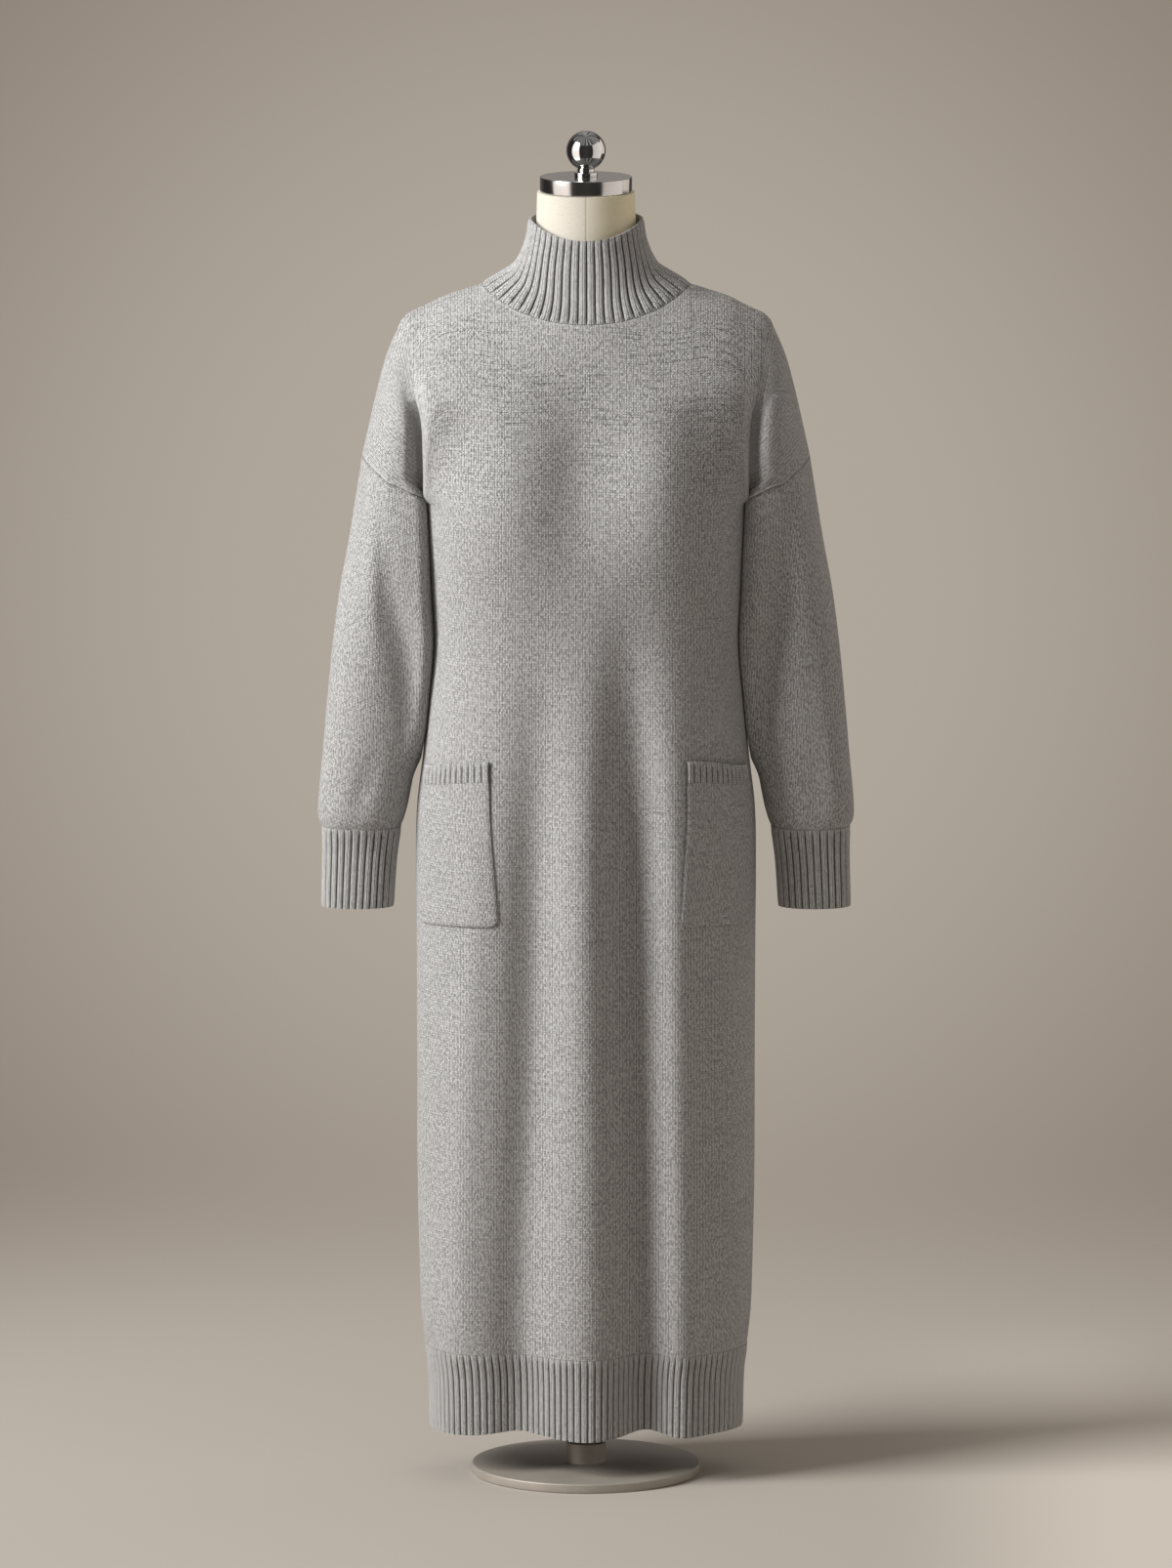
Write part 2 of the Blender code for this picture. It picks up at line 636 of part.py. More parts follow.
def build_panel(panel, name, parts):
    """The front or back of the body, from the hem rib to the neck and armholes."""
    points = []
    seams = {}
    turns = angles(TRUNK_COLUMNS)

    def add(point):
        points.append(point)
        return len(points) - 1

    trunk = [[add(trunk_point(panel, turn, height)) for turn in turns]
             for height in TRUNK_ROWS]
    for row in trunk:
        seams[row[0]] = Vector((-1.0, 0.0, 0.0))
        seams[row[-1]] = Vector((1.0, 0.0, 0.0))
    width = along(TRUNK, "half_width", HEM_SEAM)
    depth = along(TRUNK, "front" if panel == FRONT else "back", HEM_SEAM)
    for j in trunk[0][1:-1]:
        level = Vector((points[j].x / width ** 2, points[j].y / depth ** 2, 0.0))
        seams[j] = level.normalized()

    yoke = []
    for i, up in enumerate(YOKE_ROWS):
        left = [add(arm_point(panel, LEFT, k / ARM_COLUMNS, up))
                for k in range(ARM_COLUMNS, -1, -1)]
        if i == 0:
            chest = trunk[-1]
        else:
            chest = [add(yoke_point(panel, turn / 90, up)) for turn in turns]
        right = [add(arm_point(panel, RIGHT, k / ARM_COLUMNS, up))
                 for k in range(ARM_COLUMNS + 1)]
        yoke.append(left + chest + right)

    # armhole seams lie in one flat plane each
    armhole = tube_row(SLEEVE, 0.0)
    for k in range(ARM_COLUMNS + 1):
        angle = mix(-90, 90, k / ARM_COLUMNS)
        angle = angle if panel == FRONT else 180 - angle
        seams[yoke[0][ARM_COLUMNS - k]] = tube_out(armhole, LEFT, angle)
        seams[yoke[0][-ARM_COLUMNS - 1 + k]] = tube_out(armhole, RIGHT, angle)
    for side, j in ((LEFT, 0), (RIGHT, -1)):
        seams[trunk[-1][j]] = Vector((side, 0.0, -1.0))

    # the seam that runs up the arm and along the shoulder to the neck
    neck_columns = round(TRUNK_COLUMNS * NECK_SHARE)
    shoulder_columns = (TRUNK_COLUMNS - neck_columns) // 2
    rise = [row[0] for row in yoke[1:]]
    across = yoke[-1][1:ARM_COLUMNS + 1 + shoulder_columns + 1]
    left_seam = rise + across
    for i, out in zip(left_seam, outline_normals([points[i] for i in left_seam])):
        seams[i] = out
    rise = [row[-1] for row in yoke[1:]]
    across = list(reversed(yoke[-1]))[1:ARM_COLUMNS + 1 + shoulder_columns + 1]
    right_seam = rise + across
    for i, out in zip(right_seam, outline_normals([points[i] for i in right_seam])):
        seams[i] = -out

    chest_top = yoke[-1][ARM_COLUMNS + 1:-ARM_COLUMNS - 1]
    neck = chest_top[shoulder_columns:shoulder_columns + neck_columns + 1]
    for k, i in enumerate(neck):
        seams[i] = neck_out(panel, mix(-1, 1, k / neck_columns))

    faces = grid_faces(trunk) + grid_faces(yoke)
    if panel == BACK:
        faces = [tuple(reversed(face)) for face in faces]
    cloth_wall(name, points, faces, CLOTH, seams, "grey_knit", parts)
    return {"trunk": [[points[i] for i in row] for row in trunk],
            "neck": [points[i] for i in neck]}


def build_sleeve(side, name, parts):
    """A sleeve: a tapered tube from the armhole seam down to the cuff."""
    turns = [-90 + 360 * j / SLEEVE_COLUMNS for j in range(SLEEVE_COLUMNS)]
    across = armhole_plane(side)
    down_sleeve = Vector((side * abs(across.z), 0.0, -abs(across.x)))
    points = []
    seams = {}
    rows = []
    for i in range(SLEEVE_ROWS + 1):
        ring = tube_row(SLEEVE, i / SLEEVE_ROWS)
        row = []
        for turn in turns:
            point = tube_point(ring, side, turn)
            if i == 0:
                point += down_sleeve * SEAM_GAP
            if i in (0, SLEEVE_ROWS):
                seams[len(points)] = tube_out(ring, side, turn)
            row.append(len(points))
            points.append(point)
        rows.append(row + row[:1])
    faces = grid_faces(rows)
    if side == RIGHT:
        faces = [tuple(reversed(face)) for face in faces]
    cloth_wall(name, points, faces, CLOTH, seams, "grey_knit", parts)
    return [points[i] for i in rows[-1]]


def build_cuff(side, name, seam, parts):
    """A ribbed cuff that hangs under a sleeve's lower seam."""
    widest = tube_row(CUFF, 0.5)
    turns = even_angles(lambda angle: tube_point(widest, side, angle), CUFF_RIBS * 3, -90, 270)
    rows, outs = [], []
    for share in CUFF_ROWS:
        ring = tube_row(CUFF, share)
        row = []
        for turn in turns[:-1]:
            if share == 0.0:
                place = (turn + 90) / 360 * SLEEVE_COLUMNS
                k = int(place)
                point = seam[k].lerp(seam[k + 1], place - k)
                point = point - Vector((0.0, 0.0, SEAM_GAP))
            else:
                point = tube_point(ring, side, turn)
            row.append(point)
        rows.append(row)
        outs.append([tube_out(ring, side, turn) for turn in turns[:-1]])
    rises = [SEAM_RIB_RISE] + [RIB_RISE] * (len(rows) - 1)
    ribbed_wall(name, rows, outs, rises, True, "grey_rib", parts)


def build_hem(panel, name, seam, parts):
    """The ribbed hem of the front or back."""
    middle = (HEM_EDGE + HEM_SEAM) / 2
    turns = even_angles(lambda angle: trunk_point(panel, angle, middle), HEM_RIBS * 3, -90, 90)
    rows, outs = [], []
    for share in HEM_ROWS:
        height = mix(HEM_EDGE, HEM_SEAM - SEAM_GAP, share)
        row, out = [], []
        for turn in turns:
            if share == 1.0:
                point = on_chain(seam, turn)
                point.z = height
            else:
                point = trunk_point(panel, turn, height)
            row.append(point)
            before = trunk_point(panel, max(turn - TURN_STEP, -90), height)
            after = trunk_point(panel, min(turn + TURN_STEP, 90), height)
            run = (after - before).normalized()
            level = Vector((run.y, -run.x, 0.0)) * -panel
            if abs(turn) > SIDE_ANGLE:
                level = Vector((math.copysign(1.0, turn), 0.0, 0.0))
            out.append(level.normalized())
        rows.append(row)
        outs.append(out)
    rises = [SEAM_RIB_RISE, RIB_RISE]
    ribbed_wall(name, rows, outs, rises, False, "grey_rib", parts)


def collar_point(angle, up):
    """A point of the collar's cloth; angle 0 is the middle of the front."""
    panel = FRONT if math.cos(math.radians(angle)) >= 0 else BACK
    share = angle / 90 if panel == FRONT else (180 - angle) / 90
    base = neck_point(panel, share)
    turn = math.radians(angle)
    depth = along(COLLAR, "front" if panel == FRONT else "back", up)
    side_up = abs(math.sin(turn)) ** NECK_SAG
    top = mix(COLLAR_TOP[panel], COLLAR_TOP_SIDE, side_up)
    return Vector((along(COLLAR, "half_width", up) * math.sin(turn),
                   -depth * math.cos(turn), mix(base.z, top, up)))


def build_collar(necklines, parts):
    """The ribbed funnel neck with its plain rolled edge."""
    turns = even_angles(lambda angle: collar_point(angle, 0.6), COLLAR_RIBS * 3, -90, 270)[:-1]
    front, back = necklines
    rows, outs = [], []
    for up in COLLAR_ROWS:
        row, out = [], []
        for turn in turns:
            panel = FRONT if turn <= 90 else BACK
            share = turn / 90 if panel == FRONT else (180 - turn) / 90
            if up == 0.0:
                chain = front if panel == FRONT else back
                normal = neck_out(panel, share)
                level = Vector((normal.x, normal.y, 0.0))
                rise = Vector((-normal.x * normal.z, -normal.y * normal.z,
                               level.length_squared)).normalized()
                point = on_chain(chain, share * 90) + rise * SEAM_GAP
            else:
                point = collar_point(turn, up)
                run = collar_point(turn + TURN_STEP, up) - collar_point(turn - TURN_STEP, up)
                above = collar_point(turn, min(up + CLIMB_STEP, 1.0))
                climb = above - collar_point(turn, up - CLIMB_STEP)
                normal = run.cross(climb).normalized()
            row.append(point)
            out.append(normal)
        rows.append(row)
        outs.append(out)
    rises = [SEAM_RIB_RISE] + [RIB_RISE] * (len(rows) - 2) + [0.0]
    ribbed_wall("collar", rows, outs, rises, True, "grey_rib", parts)


# ================================================================ pockets
def pocket_columns(pocket, share):
    """Angles across a pocket: its edges, and the front's own columns between them."""
    inner = mix(pocket.inner_low, pocket.inner_top, share)
    outer = mix(pocket.outer_low, pocket.outer_top, share)
    step = 180 / TRUNK_COLUMNS
    first = math.ceil(min(pocket.inner_top, pocket.inner_low) / step)
    last = math.floor(max(pocket.outer_top, pocket.outer_low) / step)
    between = [min(max(k * step, inner + POCKET_RIM), outer - POCKET_RIM)
               for k in range(first, last + 1)]
    return [inner] + between + [outer]


def front_facet(rows, angle, height):
    """A point on the faceted front, and the way out of the cloth there."""
    heights = TRUNK_ROWS
    i = max(k for k in range(len(heights) - 1) if heights[k] <= height + 1e-9)
    share = (height - heights[i]) / (heights[i + 1] - heights[i])
    low, high = on_chain(rows[i], angle), on_chain(rows[i + 1], angle)
    run = on_chain(rows[i], angle + TURN_STEP) - on_chain(rows[i], angle - TURN_STEP)
    return low.lerp(high, share), run.cross(high - low).normalized()


def stand_off(height):
    """How far the pocket hangs clear of the front: most at its mouth."""
    share = (height - POCKET_FLOOR) / (POCKET_MOUTH - POCKET_FLOOR)
    return POCKET_GAP + POCKET_STAND * share ** 3


def build_pocket(pocket, name, rows, parts):
    """A patch pocket, made from the front's own points moved out."""
    heights = [height for height in TRUNK_ROWS if POCKET_FLOOR <= height <= POCKET_RIB_SEAM]
    points, seams, grid = [], {}, []
    for height in heights:
        share = (height - POCKET_FLOOR) / (POCKET_MOUTH - POCKET_FLOOR)
        line = []
        for angle in pocket_columns(pocket, share):
            point, out = front_facet(rows, pocket.side * angle, height)
            level = Vector((out.x, out.y, 0.0)).normalized()
            seams[len(points)] = level
            line.append(len(points))
            points.append(point + level * (stand_off(height) + POCKET_CLOTH))
        grid.append(line)
    faces = grid_faces(grid)
    if pocket.side == LEFT:
        faces = [tuple(reversed(face)) for face in faces]
    cloth_wall(name, points, faces, POCKET_CLOTH, seams, "grey_knit", parts)


def build_pocket_rib(pocket, name, rows, parts):
    """The ribbed band along a pocket's mouth."""
    lines, outs = [], []
    for height in (POCKET_RIB_SEAM + SEAM_GAP, POCKET_MOUTH):
        share = (height - POCKET_FLOOR) / (POCKET_MOUTH - POCKET_FLOOR)
        columns = pocket_columns(pocket, share)
        line, out = [], []
        for k in range(POCKET_RIBS * 3 + 1):
            angle = mix(columns[0], columns[-1], k / (POCKET_RIBS * 3))
            point, normal = front_facet(rows, pocket.side * angle, height)
            level = Vector((normal.x, normal.y, 0.0)).normalized()
            line.append(point + level * (stand_off(height) + POCKET_CLOTH))
            out.append(level)
        lines.append(line)
        outs.append(out)
    ribbed_wall(name, lines, outs, [SEAM_RIB_RISE] * 2, False, "grey_rib", parts,
                thickness=POCKET_CLOTH)


# ================================================================ dress form
def form_edge(panel, share):
    """The upper edge of the torso's front or back: shoulder ridge and neck ring."""
    if abs(share) <= FORM_NECK_SHARE + 1e-9:
        turn = math.radians(90 * share / FORM_NECK_SHARE)
        depth, middle = FORM_NECK[panel]
        side_x, side_height = FORM_NECK_SIDE
        height = mix(middle, side_height, abs(math.sin(turn)) ** 2)
        return Vector((side_x * math.sin(turn), panel * depth * math.cos(turn), height))
    steps = round((1 - FORM_NECK_SHARE) * FORM_COLUMNS / 2)
    k = round((1 - abs(share)) * FORM_COLUMNS / 2)
    ridge = mix(FORM_TIP_X, NECK_SIDE_X, k / (steps - 1))
    fall = shoulder_height(ridge - RIDGE_STEP) - shoulder_height(ridge + RIDGE_STEP)
    slope = fall / (2 * RIDGE_STEP)
    drop = (CLOTH + FORM_CLEARANCE) * math.sqrt(1 + slope ** 2)
    return Vector((math.copysign(ridge, share), 0.0, shoulder_height(ridge) - drop))


def form_point(panel, share, up):
    """A point of the torso above the chest."""
    top = form_edge(panel, share)
    turn = math.radians(90 * share)
    ring = FORM[-1]
    depth = (ring.front if panel == FRONT else ring.back) * math.cos(turn)
    roundness = mix(FORM_CHEST_ROUND, FORM_ARM_ROUND, abs(share))
    pull = 1 - (1 - up ** roundness) ** (1 / roundness)
    return Vector((mix(FORM_ARM_X * math.sin(turn), top.x, up),
                   panel * mix(depth, abs(top.y), pull),
                   mix(FORM_CHEST, top.z, up)))


def build_form(parts):
    """The linen-covered torso with its neck: one smooth closed body."""
    bm = bmesh.new()
    turns = angles(FORM_COLUMNS)
    for panel in (FRONT, BACK):
        grid = []
        for height in FORM_ROWS:
            width = along(FORM, "half_width", height)
            depth = along(FORM, "front" if panel == FRONT else "back", height)
            line = []
            for turn in turns:
                across = math.sin(math.radians(turn))
                forward = abs(math.cos(math.radians(turn)))
                line.append(Vector((width * across, panel * depth * forward, height)))
            grid.append(line)
        for up in FORM_YOKE_ROWS[1:]:
            grid.append([form_point(panel, turn / 90, up) for turn in turns])
        first = round(FORM_COLUMNS * (1 - FORM_NECK_SHARE) / 2)
        made = [[bm.verts.new(point) for point in line] for line in grid]
        throat = [made[-1][first:len(turns) - first]]
        for ring in FORM_NECK_RINGS:
            line = []
            for k, _ in enumerate(throat[0]):
                turn = math.radians(mix(-90, 90, k / (len(throat[0]) - 1)))
                line.append(bm.verts.new((ring.radius * math.sin(turn),
                                          panel * ring.radius * abs(math.cos(turn)),
                                          ring.height)))
            throat.append(line)
        faces = []
        for low, high in [*zip(made, made[1:]), *zip(throat, throat[1:])]:
            for j in range(len(low) - 1):
                faces.append(bm.faces.new((low[j], low[j + 1], high[j + 1], high[j])))
        if panel == BACK:
            bmesh.ops.reverse_faces(bm, faces=faces)
    bmesh.ops.remove_doubles(bm, verts=bm.verts, dist=0.00002)
    rims = [edge for edge in bm.edges if edge.is_boundary]
    bmesh.ops.holes_fill(bm, edges=rims)
    bmesh.ops.recalc_face_normals(bm, faces=bm.faces)
    mesh = bpy.data.meshes.new("form_torso")
    bm.to_mesh(mesh)
    bm.free()
    add_object("form_torso", mesh, "linen", parts)


def build_stand(parts):
    """Neck cap, ball finial, pole and round base."""
    turned("neck_cap", ((0.0, CAP_TOP), (CAP_RADIUS - CAP_BEVEL, CAP_TOP),
                        (CAP_RADIUS, CAP_TOP - CAP_BEVEL), (CAP_RADIUS, CAP_LOW + CAP_BEVEL),
                        (CAP_RADIUS - CAP_BEVEL, CAP_LOW), (0.0, CAP_LOW)), "steel", parts)

    height = CAP_TOP + SEAM_GAP
    rings = [(0.0, height)]
    for radius, rise in FINIAL_RINGS:
        rings += [(radius, height), (radius, height + rise)]
        height += rise
    start = math.asin(BALL_FOOT / BALL_RADIUS)
    ball = []
    for k in range(BALL_STEPS + 1):
        turn = mix(math.pi - start, 0.0, k / BALL_STEPS)
        ball.append((BALL_RADIUS * math.sin(turn), BALL_HEIGHT + BALL_RADIUS * math.cos(turn)))
    ball[-1] = (0.0, BALL_HEIGHT + BALL_RADIUS)
    turned("finial", tuple(reversed(rings + ball)), "chrome", parts)

    socket_top = BASE_THICKNESS + SOCKET_HEIGHT
    turned("stand_base", ((0.0, socket_top), (SOCKET_RADIUS - BASE_BEVEL, socket_top),
                          (SOCKET_RADIUS, socket_top - BASE_BEVEL),
                          (SOCKET_RADIUS, BASE_THICKNESS),
                          (BASE_RADIUS - BASE_BEVEL, BASE_THICKNESS),
                          (BASE_RADIUS, BASE_THICKNESS - BASE_BEVEL),
                          (BASE_RADIUS, 0.0), (0.0, 0.0)), "taupe_paint", parts)
    low = socket_top + SEAM_GAP
    high = FORM[0].height - SEAM_GAP
    turned("stand_pole", ((0.0, high), (POLE_RADIUS, high), (POLE_RADIUS, low), (0.0, low)),
           "taupe_paint", parts)


# ================================================================ assembly
def build():
    """Make every piece of the dress and what it stands on."""
    for old in list(bpy.data.objects):
        bpy.data.objects.remove(old, do_unlink=True)
    parts = bpy.data.collections.new("sweater_dress_on_form")
    bpy.context.scene.collection.children.link(parts)

    front = build_panel(FRONT, "body_front", parts)
    back = build_panel(BACK, "body_back", parts)
    build_hem(FRONT, "hem_front", front["trunk"][0], parts)
    build_hem(BACK, "hem_back", back["trunk"][0], parts)
    build_collar((front["neck"], back["neck"]), parts)
    for side, word in ((LEFT, "left"), (RIGHT, "right")):
        seam = build_sleeve(side, "sleeve_" + word, parts)
        build_cuff(side, "cuff_" + word, seam, parts)
    for pocket in POCKETS:
        word = "left" if pocket.side == LEFT else "right"
        build_pocket(pocket, "pocket_" + word, front["trunk"], parts)
        build_pocket_rib(pocket, "pocket_rib_" + word, front["trunk"], parts)
    build_form(parts)
    build_stand(parts)


build()
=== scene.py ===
"""Long ribbed-neck sweater dress on a limbless dress form, dressed over its CAD frame.

Units are metres, +Z is up and the dress faces -Y.
"""
import json
import math

import bmesh
import bpy
import numpy as np
from bpy.props import FloatProperty, FloatVectorProperty, IntProperty, PointerProperty
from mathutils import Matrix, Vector

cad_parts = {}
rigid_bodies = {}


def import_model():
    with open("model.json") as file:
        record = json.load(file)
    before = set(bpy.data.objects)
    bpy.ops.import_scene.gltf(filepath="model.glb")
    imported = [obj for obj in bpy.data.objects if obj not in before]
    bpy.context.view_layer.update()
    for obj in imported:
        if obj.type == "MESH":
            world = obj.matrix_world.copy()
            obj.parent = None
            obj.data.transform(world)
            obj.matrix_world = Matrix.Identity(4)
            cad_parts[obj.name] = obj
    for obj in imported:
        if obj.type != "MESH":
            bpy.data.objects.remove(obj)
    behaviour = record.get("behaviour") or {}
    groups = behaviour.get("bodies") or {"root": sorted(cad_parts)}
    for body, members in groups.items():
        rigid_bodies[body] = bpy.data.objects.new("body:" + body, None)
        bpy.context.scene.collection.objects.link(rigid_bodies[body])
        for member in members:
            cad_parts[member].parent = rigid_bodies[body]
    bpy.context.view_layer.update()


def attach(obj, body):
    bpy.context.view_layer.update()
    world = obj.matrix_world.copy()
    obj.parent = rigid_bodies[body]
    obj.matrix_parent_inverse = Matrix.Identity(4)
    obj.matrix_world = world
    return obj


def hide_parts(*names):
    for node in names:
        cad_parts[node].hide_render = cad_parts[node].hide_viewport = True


bl_info = {
    "name": "Sweater dress on a dress form",
    "version": (1, 0, 0),
    "blender": (4, 5, 0),
    "location": "View3D > Sidebar > Dress",
    "description": "Builds a knitted dress, its dress form and a plain studio",
    "category": "Object",
}

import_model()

FRONT, BACK = -1, 1
LEFT, RIGHT = -1, 1
SIDES = ((LEFT, "left"), (RIGHT, "right"))
PANELS = ((FRONT, "front"), (BACK, "back"))


def table(columns, rows):
    """A short table of sizes as one array for each named column."""
    return dict(zip(columns.split(), np.array(rows, float).T))


# ---------------------------------------------------------------- body
HEM_EDGE = 0.0515
HEM_SEAM = 0.1385
POCKET_FLOOR = 0.598
POCKET_RIB_SEAM = 0.751
POCKET_MOUTH = 0.773
ARMPIT = 1.0371
SEAM_GAP = 0.0003
SEAM_RIDGE = 0.0011
# Strength of the painted highlight along the body's side edges.
EDGE_PAINTED_HIGHLIGHT = 0.45

TRUNK = table("height half_width front back flat", (
    (0.0515, 0.1636, 0.092, 0.100, 2.1),
    (0.1110, 0.1652, 0.094, 0.102, 2.1),
    (0.1385, 0.1690, 0.098, 0.105, 2.1),
    (0.1740, 0.1729, 0.101, 0.108, 2.1),
    (0.2160, 0.1745, 0.103, 0.110, 2.1),
    (0.3200, 0.1766, 0.107, 0.115, 2.1),
    (0.4660, 0.1768, 0.113, 0.122, 2.2),
    (0.5850, 0.1773, 0.120, 0.130, 2.2),
    (0.6470, 0.1777, 0.123, 0.133, 2.2),
    (0.7090, 0.1765, 0.125, 0.133, 2.2),
    (0.7680, 0.1698, 0.125, 0.128, 2.3),
    (0.8280, 0.1648, 0.124, 0.120, 2.4),
    (0.8870, 0.1612, 0.124, 0.112, 2.5),
    (0.9460, 0.1645, 0.127, 0.110, 2.7),
    (0.9980, 0.1676, 0.130, 0.112, 2.9),
    (1.0371, 0.1692, 0.131, 0.114, 3.0),
))

# Long folds: crests have a positive rise, troughs a negative one.
FOLDS = table("panel top_x low_x top full rise width", (
    (FRONT, -0.046, -0.066, 0.98, 0.58, -0.0195, 0.027),
    (FRONT, 0.040, 0.063, 1.00, 0.64, -0.0290, 0.026),
    (FRONT, -0.003, 0.001, 0.94, 0.60, 0.008, 0.026),
    (FRONT, -0.082, -0.084, 0.48, 0.16, -0.007, 0.026),
    (FRONT, -0.112, -0.143, 0.80, 0.40, 0.008, 0.022),
    (FRONT, 0.092, 0.100, 0.96, 0.60, 0.009, 0.023),
    (BACK, -0.060, -0.072, 0.84, 0.14, -0.020, 0.026),
    (BACK, 0.022, 0.012, 0.90, 0.16, -0.016, 0.024),
    (BACK, 0.082, 0.096, 0.72, 0.14, -0.018, 0.024),
    (BACK, -0.026, -0.030, 0.70, 0.14, 0.007, 0.024),
    (BACK, 0.050, 0.056, 0.66, 0.14, 0.008, 0.022),
))

# Broad swells and hollows of the upper body.
SWELLS = table("panel x height rise half_width half_height", (
    (FRONT, -0.082, 1.020, 0.008, 0.050, 0.065),
    (FRONT, 0.082, 1.020, 0.008, 0.050, 0.065),
    (FRONT, -0.006, 1.085, -0.009, 0.035, 0.080),
    (FRONT, 0.078, 1.090, 0.008, 0.034, 0.060),
    (FRONT, -0.082, 1.110, 0.006, 0.045, 0.060),
    (BACK, -0.080, 1.110, 0.006, 0.050, 0.070),
    (BACK, 0.080, 1.110, 0.006, 0.050, 0.070),
))

# ---------------------------------------------------------------- yoke
NECK_SHARE = 8 / 15
WEB = 0.0060
SHOULDER_END = 0.1858
SHOULDER_LINE = table("x height", (
    (0.1080, 1.2590), (0.1228, 1.2545), (0.1482, 1.2463),
    (0.1644, 1.2381), (0.1858, 1.2279), (0.1918, 1.2215),
))
CREASE = table("up x fullness", (
    (0.000, 0.1692, 0.000), (0.045, 0.1693, 0.034), (0.100, 0.1692, 0.052),
    (0.217, 0.1693, 0.070), (0.463, 0.1715, 0.092), (0.636, 0.1790, 0.117),
    (0.776, 0.1832, 0.1305), (0.900, 0.1845, 0.131), (1.000, 0.1858, 0.131),
))
ARM = table("up out_x out_height fullness", (
    (0.00, 0.2328, 1.0803, 0.0690), (0.20, 0.2270, 1.1065, 0.0800),
    (0.46, 0.2185, 1.1440, 0.1000), (0.64, 0.2125, 1.1680, 0.1150),
    (0.78, 0.2080, 1.1830, 0.1240), (0.90, 0.2035, 1.1950, 0.1250),
    (1.00, 0.1990, 1.2054, 0.1250),
))
NECK_SIDE_X = 0.1080
NECK_SIDE_HEIGHT = 1.2590
NECK_SAG = 2.3
NECK_HOLD = 4
CREASE_HOLD = 4
CREASE_LIFT = 0.036
YOKE_FLAT = 3.0
RIDGE = 0.0162
CHEST_ROUND = 2.10
ARM_ROUND = 1.50
NECK_DEPTH = {FRONT: 0.088, BACK: 0.075}
NECK_MIDDLE = {FRONT: 1.2273, BACK: 1.2700}
NECK_LEAN = {FRONT: 22.0, BACK: 30.0}
NECK_SIDE_LEAN = 62.0
DEPTH_OF = {FRONT: "front", BACK: "back"}

# ---------------------------------------------------------------- collar, sleeves
COLLAR_RIBS = 46
COLLAR_CLOSE = 0.68
COLLAR_EASE = 1.7
COLLAR_TOP = {FRONT: 1.3115, BACK: 1.3320}
COLLAR_TOP_SIDE = 1.3281
COLLAR = table("up half_width front back", (
    (0.00, 0.1080, 0.0880, 0.0750), (0.12, 0.0935, 0.0815, 0.0710),
    (0.25, 0.0780, 0.0755, 0.0670), (0.40, 0.0700, 0.0710, 0.0640),
    (0.60, 0.0640, 0.0670, 0.0615), (0.80, 0.0605, 0.0640, 0.0600),
    (1.00, 0.0590, 0.0620, 0.0590),
))
TUBE_COLUMNS = "down in_x in_height out_x out_height front back"
SLEEVE = table(TUBE_COLUMNS, (
    (0.00, 0.1752, 1.0371, 0.2328, 1.0803, 0.0690, 0.0690),
    (0.08, 0.1730, 1.0080, 0.2395, 1.0380, 0.0690, 0.0710),
    (0.18, 0.1712, 0.9740, 0.2470, 0.9920, 0.0670, 0.0730),
    (0.31, 0.1682, 0.9300, 0.2565, 0.9400, 0.0615, 0.0700),
    (0.45, 0.1642, 0.8800, 0.2638, 0.8850, 0.0550, 0.0640),
    (0.60, 0.1688, 0.8250, 0.2696, 0.8280, 0.0490, 0.0580),
    (0.76, 0.1765, 0.7660, 0.2748, 0.7680, 0.0440, 0.0520),
    (0.90, 0.1850, 0.7160, 0.2796, 0.7160, 0.0400, 0.0460),
    (0.96, 0.1900, 0.6970, 0.2795, 0.6970, 0.0370, 0.0410),
    (1.00, 0.1935, 0.6886, 0.2755, 0.6886, 0.0330, 0.0370),
))
SLEEVE_FOLDS = table("side reach height rise width half_height slant", (
    (LEFT, 0.39, 0.900, -0.0085, 0.11, 0.120, 1.5),
    (LEFT, 0.16, 0.900, 0.0110, 0.08, 0.120, 0.0),
    (LEFT, 0.52, 0.735, -0.0030, 0.12, 0.035, -1.5),
    (RIGHT, 0.37, 0.889, -0.0140, 0.14, 0.130, 1.4),
    (RIGHT, 0.60, 0.880, -0.0060, 0.30, 0.120, 0.0),
    (RIGHT, 0.60, 0.745, -0.0030, 0.12, 0.035, 1.2),
))
CUFF_RIBS = 28
CUFF = table(TUBE_COLUMNS, (
    (0.00, 0.1935, 0.6886, 0.2755, 0.6886, 0.0330, 0.0370),
    (0.20, 0.1962, 0.6716, 0.2745, 0.6716, 0.0275, 0.0320),
    (0.45, 0.1988, 0.6504, 0.2746, 0.6504, 0.0255, 0.0295),
    (1.00, 0.2020, 0.6037, 0.2758, 0.6037, 0.0260, 0.0295),
))
HEM_RIBS = 61
ARM_RISE = 0.28
ARM_INNER = 0.68
ARM_TURN = 0.22
ARM_SWELL = 1.06
ARM_SKEW = {FRONT: 1.0, BACK: 0.5}
SKEW_END = 0.70
HUG_LOW, HUG_HIGH = 0.735, 0.800
HUG = 0.018
HUG_UP = 0.12
HUG_GAP = 0.0010
HUG_SOFT = 0.0012

# ---------------------------------------------------------------- pockets
POCKET_RIBS = 13
POCKET_CLOTH = 0.0020
POCKET_GAP = 0.0004
POCKET_STAND = 0.0012
POCKET_CORNER = 0.009
POCKET_EDGE = 0.0009
POCKET_DROP = (0.0050, 0.0125)
POCKETS = ((LEFT, "left", 36.2, 30.6, 75.0, 73.0), (RIGHT, "right", 37.8, 33.0, 75.0, 73.0))

